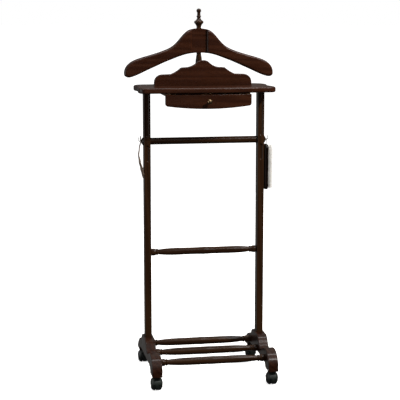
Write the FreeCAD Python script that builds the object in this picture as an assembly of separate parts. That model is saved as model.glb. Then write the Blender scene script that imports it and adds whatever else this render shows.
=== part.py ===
"""Valet stand: a glued and screwed hardwood frame with hanger, tray, drawer and casters.

Millimetres, +Z up. X runs from post to post, -Y is the front, and the origin is on
the floor under the middle of the two feet. Each piece is written to parts/NODE.step.
"""
import FreeCAD, Part
import math
import os

V = FreeCAD.Vector
X_AXIS, Y_AXIS, Z_AXIS = V(1, 0, 0), V(0, 1, 0), V(0, 0, 1)

# ---------------------------------------------------------------- driving sizes
# feet
FOOT_SPACING = 366.0         # centre to centre of the two feet and of the two posts
FOOT_THICK = 32.0
FOOT_HALF_LENGTH = 183.0
TOE_CLEARANCE = 8.0          # from the wheels up to the foot's underside over them
TOE_FLAT = 49.0              # length of that flat underside, from the toe's end
TOE_RISE = 18.0              # heights above the toe's underside
ARCH_RISE = 20.0
VALLEY_RISE = 47.0
FRONT_VALLEY_RISE = 43.0
KNEE_RISE = 61.0
CROWN_RISE = 75.5
FOOT_ROUND = 2.5

# posts
POST_Y = 36.0
POST_WIDTH = 21.0
POST_DEPTH = 32.0
POST_ROUND = 1.5
POST_TENON_WIDTH = 11.0
POST_TENON_DEPTH = 22.0
POST_TENON_LENGTH = 28.0
FLUTE_WIDTH = 12.0
FLUTE_DEPTH = 3.2
FLUTE_TOP_GAP = 4.0          # plain stretch between the upper flute and the shelf
FLUTE_BAR_GAP = 12.0         # plain stretch above and below the bar's axis
LOWER_FLUTE_LENGTH = 54.0

# turned rails
BASE_RAIL_RISE = 31.5        # above the toe's underside
BASE_RAIL_INSET = 56.0       # from the toe's end to the front rail
BASE_RAIL_PITCH = 116.0
BASE_RAIL_DIAMETER = 25.0
MID_RAIL_HEIGHT = 396.5
MID_RAIL_DIAMETER = 24.0
RAIL_NECK_DIAMETER = 16.5
RAIL_BEAD_DIAMETER = 21.0
RAIL_COLLAR_DIAMETER = 22.5
RAIL_TENON_DIAMETER = 13.0
RAIL_TENON_LENGTH = 14.0

# trouser bar with its knobs and hooks
BAR_BELOW_SHELF = 155.5
BAR_DIAMETER = 22.0
BAR_TENON_DIAMETER = 13.0
KNOB_DIAMETER = 25.0
KNOB_LENGTH = 8.0
KNOB_SOCKET = 4.0            # how far the bar's tenon enters the knob
HOOK_WIRE = 2.2
HOOK_STRAIGHT = 4.2          # straight wire outside the knob, where an item hangs
HOOK_BEND = 3.0
HOOK_RISE = 12.0
HOOK_SCREW = 10.0            # wire inside the knob and the bar, behind the knob's end
ITEM_PLACE = 2.2             # centre of a hanging item, measured from the knob's end

# shelf
SHELF_UNDERSIDE = 909.5
SHELF_THICK = 17.0
SHELF_OVERHANG = 33.0        # past the middle of each post
SHELF_WAIST = 7.0            # how far each end is drawn in between its two lobes
SHELF_FRONT_Y = -57.0
SHELF_BOW = 10.0
SHELF_REAR_Y = 146.0
SHELF_ROUND = 5.0
DOWEL_DIAMETER = 10.0
DOWEL_IN_POST = 22.0
DOWEL_IN_SHELF = 11.0

# crest board on the shelf
CREST_FRONT_Y = 45.0
CREST_THICK = 16.0
CREST_HALF_WIDTH = 157.0
CREST_SHOULDER = 36.0        # heights above the shelf
CREST_CUSP = 57.0
CREST_CROWN = 79.5
CREST_ROUND = 3.0
SCREW_DIAMETER = 4.0
SCREW_HEAD = 8.0
SCREW_IN_CREST = 20.0
CREST_SCREW_PITCH = 110.0

# drawer
DRAWER_WIDTH = 271.0
DRAWER_TOP_GAP = 4.0         # gap between the shelf and the drawer front
DRAWER_FRONT_HEIGHT = 44.0
DRAWER_SWEEP = 8.0           # the front's lower edge is this much deeper in the middle
DRAWER_CORNER = 8.0
DRAWER_FRONT_ROUND = 1.5
DRAWER_SETBACK = 2.0         # from the shelf's front edge to the drawer front
DRAWER_FRONT_EDGE = 11.0     # thickness of the front at its two ends
DRAWER_BOX_LENGTH = 144.0
DRAWER_BOX_WIDTH = 219.0
DRAWER_SIDE_HEIGHT = 38.0
DRAWER_HEADROOM = 3.3        # from the drawer's sides up to the shelf
DRAWER_BOARD = 9.0
EASED = 0.8                  # round on the long edges of plain boards
DRAWER_PANEL = 4.0
PANEL_GROOVE = 3.5
PANEL_RAISE = 3.0
DRAWER_TRAVEL = 114.0
GUIDE_WIDTH = 7.4            # strip on the drawer side that rides in the runner
GUIDE_THICK = 3.0
RUNNER_BLOCK = 16.5
RUNNER_HEIGHT = 9.5
RUNNER_LENGTH = 166.0
RUNNER_SETBACK = 2.0         # from the drawer front to the runner's end
RUNNER_LIP_GAP = 1.0         # from the drawer's side to the runner's lip
STOP_WIDTH = 40.0
STOP_DEPTH = 10.0
STOP_HEIGHT = 5.0
PULL_DIAMETER = 15.0
PULL_LENGTH = 17.0
PULL_BELOW_TOP = 21.0
PULL_SCREW_BITE = 9.0        # how far the screw enters the pull
PULL_SCREW_HEAD = 2.2

# hanger on its spindle
HANGER_Y = 130.0
HANGER_HALF_WIDTH = 242.0
TIP_BELOW_HUB = 78.5         # from the hub's underside down to that of the tips
HUB_ABOVE_SHELF = 101.5
HUB_HALF_WIDTH = 24.0
HUB_THICK = 22.0
HUB_HEIGHT = 77.0
ARM_THICK = 34.0
ARM_FORWARD = 8.0            # how far the arms stand in front of the hub's face
ARM_ROUND = 7.0
ARM_TENON_LENGTH = 15.0
ARM_TENON_THICK = 10.0
ARM_TENON_HEIGHT = 34.0
HUB_SWAY = 1.5               # how far the hub's two ends lie below its middle
HUB_SHOULDER = 0.5           # the spindle's shoulder is let in this deep
SPINDLE_DIAMETER = 15.0
SPINDLE_FOOT_DIAMETER = 24.0
SPINDLE_TENON_DIAMETER = 12.0
SPINDLE_TENON_LENGTH = 12.0
FINIAL_HEIGHT = 63.0
FINIAL_FLARE_DIAMETER = 30.0
FINIAL_BALL_DIAMETER = 15.0
ROD_DIAMETER = 5.0
ROD_LENGTH = 122.0
ROD_IN_FINIAL = 16.0

# shoehorn and clothes brush
HORN_LENGTH = 134.0
HORN_ABOVE_HOOK = 17.0
HORN_THICK = 2.0
HORN_HANDLE_WIDTH = 17.0
HORN_SCOOP_WIDTH = 36.0
BRUSH_LENGTH = 146.0
BRUSH_WIDTH = 44.0
BRUSH_THICK = 11.0
BRUSH_CORNER = 14.0
BRUSH_ROUND = 3.5
BRUSH_DROP = 16.0            # from the hook's wire to the top of the brush
BRUSH_OFFSET = 3.0           # the brush's middle hangs this much nearer the post than its eye
BRISTLE_LENGTH = 17.0
BRISTLE_MARGIN = 3.5
EYE_RADIUS = 3.6
EYE_WIRE = 1.6
EYE_SHANK_IN = 10.0

# casters
CASTER_INSET = 35.0          # from the toe's end to the caster's stem
CASTER_TRAIL = 11.0
WHEEL_DIAMETER = 38.0
WHEEL_WIDTH = 13.0
WHEEL_ROUND = 7.0            # on the outer edge of the wheels and of the hood over them
WEB_THICK = 8.0
HOOD_GAP = 1.2
HOOD_THICK = 2.0
AXLE_DIAMETER = 5.0
STEM_DIAMETER = 8.0
STEM_IN_FOOT = 24.0
SOCKET_DIAMETER = 11.0
SOCKET_FLANGE_DIAMETER = 20.0
SOCKET_FLANGE = 1.6
SOCKET_END = 1.5             # closed end of the sleeve above the stem's bore
STEM_START = 12.0            # how far down into the hood the stem begins
TOP_OF_STEM_GAP = 1.0        # from the stem's top to the end of its bore
FOOT_BOLT_DIAMETER = 6.0
FOOT_BOLT_HEAD = 10.0
FOOT_BOLT_HEAD_HEIGHT = 4.0
FOOT_BOLT_SHANK = 60.0
FOOT_BOLT_SINK = 1.5         # from the arch up to the bolt's head

# clearances
GLUE = 0.05                  # radial room round a glued tenon or a screw
RUN = 0.06                   # radial room in a bearing
AIR = 0.4                    # smallest gap between pieces that move past each other

# ---------------------------------------------------------------- places worked out from them
FOOT_X = FOOT_SPACING / 2
FOOT_INNER = FOOT_X - FOOT_THICK / 2
POST_INNER = FOOT_X - POST_WIDTH / 2
POST_OUTER = FOOT_X + POST_WIDTH / 2
POST_FRONT = POST_Y - POST_DEPTH / 2
TOE_UNDERSIDE = WHEEL_DIAMETER + TOE_CLEARANCE
TOE_FACE_TOP = TOE_UNDERSIDE + TOE_RISE
ARCH_HEIGHT = TOE_UNDERSIDE + ARCH_RISE
VALLEY_HEIGHT = TOE_UNDERSIDE + VALLEY_RISE
FRONT_VALLEY_HEIGHT = TOE_UNDERSIDE + FRONT_VALLEY_RISE
KNEE_HEIGHT = TOE_UNDERSIDE + KNEE_RISE
CROWN_HEIGHT = TOE_UNDERSIDE + CROWN_RISE
BASE_RAIL_HEIGHT = TOE_UNDERSIDE + BASE_RAIL_RISE
BASE_RAIL_FRONT_Y = BASE_RAIL_INSET - FOOT_HALF_LENGTH
CASTER_STEM_Y = FOOT_HALF_LENGTH - CASTER_INSET
BAR_HEIGHT = SHELF_UNDERSIDE - BAR_BELOW_SHELF
SHELF_TOP = SHELF_UNDERSIDE + SHELF_THICK
SHELF_HALF_WIDTH = FOOT_X + SHELF_OVERHANG
HUB_UNDERSIDE = SHELF_TOP + HUB_ABOVE_SHELF
HUB_TOP = HUB_UNDERSIDE + HUB_HEIGHT
HANGER_TIP_UNDERSIDE = HUB_UNDERSIDE - TIP_BELOW_HUB
KNOB_END = POST_OUTER + KNOB_LENGTH
ITEM_X = KNOB_END + ITEM_PLACE
DRAWER_TOP = SHELF_UNDERSIDE - DRAWER_TOP_GAP
DRAWER_BACK_OF_FRONT = SHELF_FRONT_Y + DRAWER_SETBACK + DRAWER_FRONT_EDGE
DRAWER_SIDE_OUTER = DRAWER_BOX_WIDTH / 2
DRAWER_SIDE_TOP = SHELF_UNDERSIDE - DRAWER_HEADROOM
DRAWER_BOX_REAR = DRAWER_BACK_OF_FRONT + DRAWER_BOX_LENGTH
HANGER_FRONT = HANGER_Y - HUB_THICK / 2 - ARM_FORWARD
WHEEL_RADIUS = WHEEL_DIAMETER / 2
TWIN_WIDTH = 2 * WHEEL_WIDTH + WEB_THICK + 2 * AIR


# ---------------------------------------------------------------- drawing helpers
def outline(place, start, *moves):
    """Closed wire. A move is (end,) for a line, (mid, end) for an arc, or a list for a spline."""
    edges = []
    here = place(*start)
    for move in moves:
        if isinstance(move, list):
            points = [here] + [place(*p) for p in move]
            curve = Part.BSplineCurve()
            curve.interpolate(points)
            edges.append(curve.toShape())
        elif len(move) == 1:
            points = [here, place(*move[0])]
            edges.append(Part.LineSegment(*points).toShape())
        else:
            points = [here, place(*move[0]), place(*move[1])]
            edges.append(Part.Arc(*points).toShape())
        here = points[-1]
    return Part.Wire(edges)


def prism(wire, along):
    return Part.Face(wire).extrude(along)


def turned(origin, axis, start, *moves):
    """Solid of revolution. Points are (distance along the axis, radius)."""
    side = Y_AXIS if abs(axis.y) < 0.5 else X_AXIS
    wire = outline(lambda a, r: origin + axis * a + side * r, start, *moves)
    return Part.Face(wire).revolve(origin, axis, 360)


def dome(start, radius, end):
    """Arc move that closes a turned shape on its axis: a cap from (start, radius) to (end, 0)."""
    rise = end - start
    ball = (rise ** 2 + radius ** 2) / (2 * rise)
    angle = math.atan2(radius, start - (end - ball)) / 2
    return (end - ball + ball * math.cos(angle), ball * math.sin(angle)), (end, 0)


def rod(origin, axis, diameter, length):
    return Part.makeCylinder(diameter / 2, length, origin, axis)


def block(x, y, z):
    """Box from three (low, high) pairs."""
    low, size = V(x[0], y[0], z[0]), V(x[1] - x[0], y[1] - y[0], z[1] - z[0])
    return Part.makeBox(size.x, size.y, size.z, low)


def round_edges(shape, radius, wanted):
    return shape.makeFillet(radius, [e for e in shape.Edges if wanted(e)])


def ease_along(shape, at):
    """Take the sharpness off the one straight edge at two coordinates, given as {axis: value}."""
    return round_edges(shape, EASED, lambda e: all(flat_in(e, axis, value) for axis, value in at.items()))


def flat_in(edge, axis, value):
    """True if the whole edge lies at one value of x, y or z."""
    box = edge.BoundBox
    low, high = {"x": (box.XMin, box.XMax), "y": (box.YMin, box.YMax), "z": (box.ZMin, box.ZMax)}[axis]
    return abs(low - value) < 1e-3 and abs(high - value) < 1e-3


def mirrored(shape):
    return shape.mirror(V(0, 0, 0), X_AXIS)


def save(name, shape):
    shape.exportStep("parts/" + name + ".step")


def save_pair(name, right):
    """The right-hand piece, and its mirror image as the left-hand one."""
    save(name.replace("SIDE", "right"), right)
    save(name.replace("SIDE", "left"), mirrored(right))


# ---------------------------------------------------------------- feet
def base_rail_ys():
    return [BASE_RAIL_FRONT_Y + i * BASE_RAIL_PITCH for i in range(3)]


def foot_profile():
    """Side view of a foot in the YZ plane: toe, knee, valley and the crown under the post."""
    front, rear = -FOOT_HALF_LENGTH, FOOT_HALF_LENGTH
    toe, top = TOE_UNDERSIDE, TOE_FACE_TOP
    crown_front, crown_rear = POST_FRONT - 14, POST_Y + POST_DEPTH / 2 + 10
    front_top = [
        (front + 6, top + 16),
        (front + 24, KNEE_HEIGHT - 9),
        (front + 58, KNEE_HEIGHT),
        (POST_Y - 118, FRONT_VALLEY_HEIGHT + 6),
        (POST_Y - 90, FRONT_VALLEY_HEIGHT),
        (POST_Y - 75, FRONT_VALLEY_HEIGHT + 7),
        (POST_Y - 64, CROWN_HEIGHT - 12),
        (POST_Y - 52, CROWN_HEIGHT - 3.5),
        (crown_front, CROWN_HEIGHT),
    ]
    rear_top = [
        (crown_rear + 14, CROWN_HEIGHT - 7),
        (crown_rear + 25, CROWN_HEIGHT - 17.5),
        (crown_rear + 38, VALLEY_HEIGHT),
        (rear - 64, KNEE_HEIGHT - 14),
        (rear - 44, KNEE_HEIGHT - 20),
        (rear - 24, KNEE_HEIGHT - 31),
        (rear - 8, TOE_FACE_TOP - 1),
        (rear, toe + 7),
    ]
    shoulder = [(6, ARCH_HEIGHT - 10), (18, ARCH_HEIGHT - 3), (40, ARCH_HEIGHT - 0.6)]
    arch = [(rear - TOE_FLAT - in_from_toe, z) for in_from_toe, z in shoulder]
    arch += [(0, ARCH_HEIGHT)] + [(-y, z) for y, z in reversed(arch)] + [(front + TOE_FLAT, toe)]
    return [
        (front, toe), ((front, top),), front_top, ((crown_rear, CROWN_HEIGHT),), rear_top,
        ((rear, toe),), ((rear - TOE_FLAT, toe),), arch, ((front, toe),),
    ]


def foot():
    solid = prism(outline(lambda y, z: V(FOOT_INNER, y, z), *foot_profile()), V(FOOT_THICK, 0, 0))
    faces = (FOOT_INNER, FOOT_INNER + FOOT_THICK)
    solid = round_edges(solid, FOOT_ROUND, lambda e: any(flat_in(e, "x", x) for x in faces))
    cuts = [post_tenon(GLUE)]
    for y in base_rail_ys():
        place = V(FOOT_INNER - 1, y, BASE_RAIL_HEIGHT)
        cuts.append(rod(place, X_AXIS, RAIL_TENON_DIAMETER + 2 * GLUE, RAIL_TENON_LENGTH + 1.5))
    for y in (-CASTER_STEM_Y, CASTER_STEM_Y):
        cuts.append(rod(V(FOOT_X, y, TOE_UNDERSIDE - 1), Z_AXIS, SOCKET_DIAMETER, STEM_IN_FOOT + SOCKET_END + 1))
    cuts.append(rod(V(FOOT_X, POST_Y, 0), Z_AXIS, FOOT_BOLT_DIAMETER + 2 * GLUE, CROWN_HEIGHT))
    cuts.append(rod(V(FOOT_X, POST_Y, 0), Z_AXIS, FOOT_BOLT_HEAD + 1, bolt_head_z() + FOOT_BOLT_HEAD_HEIGHT))
    return solid.cut(cuts)


def bolt_head_z():
    """Underside of the bolt's head, sunk in the arch of the foot."""
    return ARCH_HEIGHT + FOOT_BOLT_SINK


def foot_bolt():
    low = bolt_head_z()
    head = rod(V(FOOT_X, POST_Y, low), Z_AXIS, FOOT_BOLT_HEAD, FOOT_BOLT_HEAD_HEIGHT)
    shank = rod(V(FOOT_X, POST_Y, low + FOOT_BOLT_HEAD_HEIGHT), Z_AXIS, FOOT_BOLT_DIAMETER, FOOT_BOLT_SHANK)
    return head.fuse(shank).removeSplitter()


# ---------------------------------------------------------------- posts
def post_tenon(room=0.0):
    half_w, half_d = POST_TENON_WIDTH / 2 + room, POST_TENON_DEPTH / 2 + room
    return block(
        (FOOT_X - half_w, FOOT_X + half_w), (POST_Y - half_d, POST_Y + half_d),
        (CROWN_HEIGHT - POST_TENON_LENGTH - room, CROWN_HEIGHT + 1),
    )


def flute(low, high):
    """Round-ended groove cutter down the middle of the post's front face."""
    radius = (FLUTE_WIDTH ** 2 / 4 + FLUTE_DEPTH ** 2) / (2 * FLUTE_DEPTH)
    y = POST_FRONT + FLUTE_DEPTH - radius
    inset = FLUTE_WIDTH / 2
    cutter = Part.makeCylinder(radius, high - low - 2 * inset, V(FOOT_X, y, low + inset), Z_AXIS)
    for z in (low + inset, high - inset):
        cutter = cutter.fuse(Part.makeSphere(radius, V(FOOT_X, y, z)))
    return cutter


def post():
    body = block(
        (POST_INNER, POST_OUTER), (POST_FRONT, POST_FRONT + POST_DEPTH),
        (CROWN_HEIGHT, SHELF_UNDERSIDE),
    )
    long_edges = SHELF_UNDERSIDE - CROWN_HEIGHT - 1
    body = round_edges(body, POST_ROUND, lambda e: e.Length > long_edges)
    body = body.fuse(post_tenon()).removeSplitter()
    upper = flute(BAR_HEIGHT + FLUTE_BAR_GAP, SHELF_UNDERSIDE - FLUTE_TOP_GAP)
    lower = flute(BAR_HEIGHT - FLUTE_BAR_GAP - LOWER_FLUTE_LENGTH, BAR_HEIGHT - FLUTE_BAR_GAP)
    bar_hole = rod(
        V(POST_INNER - 1, POST_Y, BAR_HEIGHT), X_AXIS, BAR_TENON_DIAMETER + 2 * GLUE, POST_WIDTH + 2
    )
    rail_hole = rod(
        V(POST_INNER - 1, POST_Y, MID_RAIL_HEIGHT), X_AXIS,
        RAIL_TENON_DIAMETER + 2 * GLUE, RAIL_TENON_LENGTH + 1.5,
    )
    dowel_hole = rod(
        V(FOOT_X, POST_Y, SHELF_UNDERSIDE - DOWEL_IN_POST - 1), Z_AXIS,
        DOWEL_DIAMETER + 2 * GLUE, DOWEL_IN_POST + 2,
    )
    bolt_top = bolt_head_z() + FOOT_BOLT_HEAD_HEIGHT + FOOT_BOLT_SHANK + 2
    bolt_hole = rod(V(FOOT_X, POST_Y, 0), Z_AXIS, FOOT_BOLT_DIAMETER + 2 * GLUE, bolt_top)
    return body.cut([upper, lower, bar_hole, rail_hole, dowel_hole, bolt_hole])


# ---------------------------------------------------------------- turned rails and the bar
def half_rail(inner_face, diameter, height, y):
    """Right half of a turned rail: barrel, neck, bead, collar and tenon."""
    neck, bead = RAIL_NECK_DIAMETER / 2, RAIL_BEAD_DIAMETER / 2
    collar, tenon = RAIL_COLLAR_DIAMETER / 2, RAIL_TENON_DIAMETER / 2
    end = inner_face
    return turned(
        V(0, y, height), X_AXIS,
        (0, 0), ((0, diameter / 2),),
        [(end * 0.45, diameter / 2 - 0.6), (end - 48, neck + 2.2), (end - 25, neck)],
        ((end - 23.5, neck),), ((end - 20.8, bead), (end - 18, neck + 0.6)),
        ((end - 16.8, neck + 0.6),), ((end - 15.5, collar - 1.0),),
        ((end - 7.7, collar + 0.3), (end, collar - 0.8)),
        ((end, tenon),), ((end + RAIL_TENON_LENGTH, tenon),), ((end + RAIL_TENON_LENGTH, 0),), ((0, 0),),
    )


def turned_rail(inner_face, diameter, height, y):
    right = half_rail(inner_face, diameter, height, y)
    return right.fuse(mirrored(right)).removeSplitter()


def trouser_bar():
    bar = rod(V(-POST_INNER, POST_Y, BAR_HEIGHT), X_AXIS, BAR_DIAMETER, 2 * POST_INNER)
    reach = POST_OUTER + KNOB_SOCKET
    core = rod(V(-reach, POST_Y, BAR_HEIGHT), X_AXIS, BAR_TENON_DIAMETER, 2 * reach)
    screw_holes = [
        rod(V(x, POST_Y, BAR_HEIGHT), X_AXIS, HOOK_WIRE, HOOK_SCREW + 1)
        for x in (KNOB_END - HOOK_SCREW - 1, -KNOB_END)
    ]
    return bar.fuse(core).removeSplitter().cut(screw_holes)


def bar_knob():
    radius = KNOB_DIAMETER / 2
    knob = turned(
        V(POST_OUTER, POST_Y, BAR_HEIGHT), X_AXIS,
        (0, 0), ((0, radius - 1.5),), ((0.6, radius - 0.3), (2.2, radius),), ((3.0, radius - 1.2),),
        dome(3.0, radius - 1.2, KNOB_LENGTH), ((0, 0),),
    )
    socket = rod(
        V(POST_OUTER - 1, POST_Y, BAR_HEIGHT), X_AXIS, BAR_TENON_DIAMETER + 2 * GLUE, KNOB_SOCKET + 1
    )
    wire_hole = rod(V(POST_OUTER - 1, POST_Y, BAR_HEIGHT), X_AXIS, HOOK_WIRE, KNOB_LENGTH + 2)
    return knob.cut([socket, wire_hole])


def hook():
    """Bent wire hook: screwed through the knob into the bar, straight, then turned up."""
    bend_x = KNOB_END + HOOK_STRAIGHT
    corner = HOOK_BEND * (1 - math.sqrt(0.5))
    at = lambda x, z: V(x, POST_Y, BAR_HEIGHT + z)
    path = Part.Wire([
        Part.LineSegment(at(KNOB_END - HOOK_SCREW, 0), at(bend_x, 0)).toShape(),
        Part.Arc(
            at(bend_x, 0), at(bend_x + HOOK_BEND - corner, corner), at(bend_x + HOOK_BEND, HOOK_BEND)
        ).toShape(),
        Part.LineSegment(at(bend_x + HOOK_BEND, HOOK_BEND), at(bend_x + HOOK_BEND, HOOK_RISE)).toShape(),
    ])
    start = Part.Wire([Part.makeCircle(HOOK_WIRE / 2, at(KNOB_END - HOOK_SCREW, 0), X_AXIS)])
    wire = path.makePipeShell([start], True, False)
    return wire.fuse(Part.makeSphere(HOOK_WIRE / 2, at(bend_x + HOOK_BEND, HOOK_RISE))).removeSplitter()


# ---------------------------------------------------------------- shelf and crest
def shelf():
    half, waist = SHELF_HALF_WIDTH, SHELF_HALF_WIDTH - SHELF_WAIST
    front, rear = SHELF_FRONT_Y, SHELF_REAR_Y
    middle = (front + rear) / 2
    right_end = [(half - 5, front + 8), (half, front + 22), (waist, middle),
                 (half, rear - 52), (half - 6, rear - 20), (half - 34, rear)]
    left_end = [(-x, y) for x, y in reversed(right_end[:-1])] + [(-(half - 20), front)]
    body = prism(outline(
        lambda x, y: V(x, y, SHELF_UNDERSIDE),
        (-(half - 62), front), ((0, front - SHELF_BOW), (half - 62, front)), ((half - 20, front),),
        right_end, ((-(half - 34), rear),), left_end, ((-(half - 62), front),),
    ), V(0, 0, SHELF_THICK))
    levels = (SHELF_UNDERSIDE, SHELF_TOP)
    body = round_edges(body, SHELF_ROUND, lambda e: any(flat_in(e, "z", z) for z in levels))
    cuts = []
    for x in (-FOOT_X, FOOT_X):
        cuts.append(rod(
            V(x, POST_Y, SHELF_UNDERSIDE - 1), Z_AXIS, DOWEL_DIAMETER + 2 * GLUE, DOWEL_IN_SHELF + 1.5
        ))
    for x in crest_screw_xs():
        cuts.append(crest_screw(x, GLUE))
    for at in runner_screws():
        screw = runner_screw(at, GLUE)
        cuts.extend([screw, mirrored(screw)])
    cuts.append(rod(
        V(0, HANGER_Y, SHELF_TOP - SPINDLE_TENON_LENGTH - 0.5), Z_AXIS,
        SPINDLE_TENON_DIAMETER + 2 * GLUE, SHELF_THICK,
    ))
    return body.cut(cuts)


def crest_screw_xs():
    return [i * CREST_SCREW_PITCH for i in (-1, 0, 1)]


def crest_screw(x, room=0.0):
    """Countersunk screw up through the shelf into the crest board."""
    y = CREST_FRONT_Y + CREST_THICK / 2
    radius, head = SCREW_DIAMETER / 2 + room, SCREW_HEAD / 2 + room
    length = SHELF_THICK + SCREW_IN_CREST
    return turned(
        V(x, y, SHELF_UNDERSIDE), Z_AXIS,
        (0, 0), ((0, head),), ((0.8, head),), ((0.8 + head - radius, radius),), ((length - 4, radius),),
        ((length, 0.4),), ((length, 0),), ((0, 0),),
    )


def shelf_dowel():
    length = DOWEL_IN_POST + DOWEL_IN_SHELF
    return rod(V(FOOT_X, POST_Y, SHELF_UNDERSIDE - DOWEL_IN_POST), Z_AXIS, DOWEL_DIAMETER, length)


def crest_board():
    half = CREST_HALF_WIDTH
    right = [
        ((12, CREST_CROWN - 1.2), (18, CREST_CROWN - 5)),
        ((39, CREST_CUSP + 4.2), (60, CREST_CUSP + 1.0)),
        ((70, CREST_CUSP),),
        ((83, CREST_SHOULDER + 11), (103, CREST_SHOULDER + 0.8)),
        ((half - 26, CREST_SHOULDER),),
        ((half - 7, CREST_SHOULDER - 9), (half - 0.8, CREST_SHOULDER - 26)),
        ((half, 0),),
    ]
    points = [(0, CREST_CROWN)]
    for move in right:
        points.extend(move)
    left = [(-x, z) for x, z in reversed(points)]
    moves, at = [((-half, 0),)], 1
    for move in reversed(right):
        step = left[at:at + len(move)]
        moves.append(tuple(step))
        at += len(move)
    wire = outline(
        lambda x, z: V(x, CREST_FRONT_Y, SHELF_TOP + z), (half, 0), *moves, *right
    )
    body = prism(wire, V(0, CREST_THICK, 0))
    body = round_edges(body, CREST_ROUND, lambda e: (
        flat_in(e, "y", CREST_FRONT_Y) and not flat_in(e, "z", SHELF_TOP)
    ))
    return body.cut([crest_screw(x, GLUE) for x in crest_screw_xs()])


# ---------------------------------------------------------------- hanger
def arm_outline():
    """Front view of the right arm from the hub to its rounded tip."""
    tip, under = HANGER_HALF_WIDTH, HANGER_TIP_UNDERSIDE
    upper = [
        (35, HUB_TOP - 7), (47.5, HUB_TOP - 17), (61, HUB_TOP - 32), (74.5, HUB_TOP - 47),
        (88, HUB_TOP - 58), (112, HUB_TOP - 69.5), (155, under + 72), (196, under + 60),
        (tip - 20, under + 48), (tip - 6, under + 34), (tip, under + 13),
    ]
    lower = [
        (tip - 4, under + 3), (tip - 12, under + 0.5), (tip - 24, under + 2.5), (196, under + 11),
        (169, under + 23.5), (142, under + 35.5), (115, under + 47.5), (87, HUB_UNDERSIDE - 20),
        (55, HUB_UNDERSIDE - 8.5), (HUB_HALF_WIDTH, hub_end_z()),
    ]
    start = (HUB_HALF_WIDTH, HUB_TOP - 2.8)
    return start, upper, lower, (start,)


def arm_tenon(room=0.0):
    middle = (HUB_UNDERSIDE + HUB_TOP) / 2
    half_h, half_t = ARM_TENON_HEIGHT / 2 + room, ARM_TENON_THICK / 2 + room
    return block(
        (HUB_HALF_WIDTH - ARM_TENON_LENGTH - room, HUB_HALF_WIDTH + 1),
        (HANGER_Y - half_t, HANGER_Y + half_t), (middle - half_h, middle + half_h),
    )


def hanger_arm():
    body = prism(outline(lambda x, z: V(x, HANGER_FRONT, z), *arm_outline()), V(0, ARM_THICK, 0))
    body = round_edges(body, ARM_ROUND, lambda e: flat_in(e, "y", HANGER_FRONT) or (
        flat_in(e, "y", HANGER_FRONT + ARM_THICK) and not flat_in(e, "x", HUB_HALF_WIDTH)
    ))
    return body.fuse(arm_tenon()).removeSplitter()


def hub_end_z():
    """Underside of the hub where it meets the arms."""
    return HUB_UNDERSIDE - HUB_SHOULDER - HUB_SWAY


def hanger_hub():
    half = HUB_HALF_WIDTH
    low, high = HUB_UNDERSIDE, HUB_TOP
    body = prism(outline(
        lambda x, z: V(x, HANGER_Y - HUB_THICK / 2, z),
        (-half, hub_end_z()), ((0, low - HUB_SHOULDER), (half, hub_end_z())), ((half, high - 2.8),),
        ((0, high), (-half, high - 2.8)), ((-half, hub_end_z()),),
    ), V(0, HUB_THICK, 0))
    bore = rod(V(0, HANGER_Y, low - 5), Z_AXIS, ROD_DIAMETER + 2 * GLUE, high - low + 10)
    seat = rod(V(0, HANGER_Y, low - 5), Z_AXIS, SPINDLE_TENON_DIAMETER + 2 * GLUE, SPINDLE_TENON_LENGTH + 5.5)
    shoulder = rod(V(0, HANGER_Y, low - 5), Z_AXIS, SPINDLE_DIAMETER + 2 * GLUE, 5)
    return body.cut([bore, seat, shoulder, arm_tenon(GLUE), mirrored(arm_tenon(GLUE))])


def rod_bottom():
    return HUB_TOP + ROD_IN_FINIAL - ROD_LENGTH


def hanger_spindle():
    """Turned post between the shelf and the hub, with a tenon at each end."""
    low, high = SHELF_TOP, HUB_UNDERSIDE
    foot_r, shaft, tenon = SPINDLE_FOOT_DIAMETER / 2, SPINDLE_DIAMETER / 2, SPINDLE_TENON_DIAMETER / 2
    body = turned(
        V(0, HANGER_Y, low), Z_AXIS,
        (-SPINDLE_TENON_LENGTH, 0), ((-SPINDLE_TENON_LENGTH, tenon),), ((0, tenon),), ((0, foot_r),),
        ((3, foot_r + 0.6), (6, foot_r - 0.8)), ((9, shaft + 1.2), (14, shaft + 1)),
        [(38, shaft + 3.5), (75, shaft + 3), (high - low - 6, shaft)], ((high - low, shaft),),
        ((high - low, tenon),), ((high - low + SPINDLE_TENON_LENGTH, tenon),),
        ((high - low + SPINDLE_TENON_LENGTH, 0),), ((-SPINDLE_TENON_LENGTH, 0),),
    )
    hole = rod(V(0, HANGER_Y, rod_bottom() - 1), Z_AXIS, ROD_DIAMETER + 2 * GLUE, ROD_LENGTH)
    return body.cut(hole)


def finial():
    flare, ball = FINIAL_FLARE_DIAMETER / 2, FINIAL_BALL_DIAMETER / 2
    top = FINIAL_HEIGHT
    ball_z = top - ball
    neck = ball * 0.75
    ball_start = ball_z - math.sqrt(ball ** 2 - (neck - 0.6) ** 2)
    body = turned(
        V(0, HANGER_Y, HUB_TOP), Z_AXIS,
        (0, 0), ((0, ball + 0.6),), [(4, ball), (10, ball + 1.6), (16, flare - 1.2)],
        ((19.5, flare), (23, flare - 1.4)), [(27, ball + 0.8), (32, neck)],
        ((35, neck),), ((37.5, neck + 1.7), (40, neck)), ((ball_start, neck - 0.6),),
        dome(ball_start, neck - 0.6, top), ((0, 0),),
    )
    hole = rod(V(0, HANGER_Y, HUB_TOP - 1), Z_AXIS, ROD_DIAMETER + 2 * GLUE, ROD_IN_FINIAL + 1.5)
    return body.cut(hole)


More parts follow.
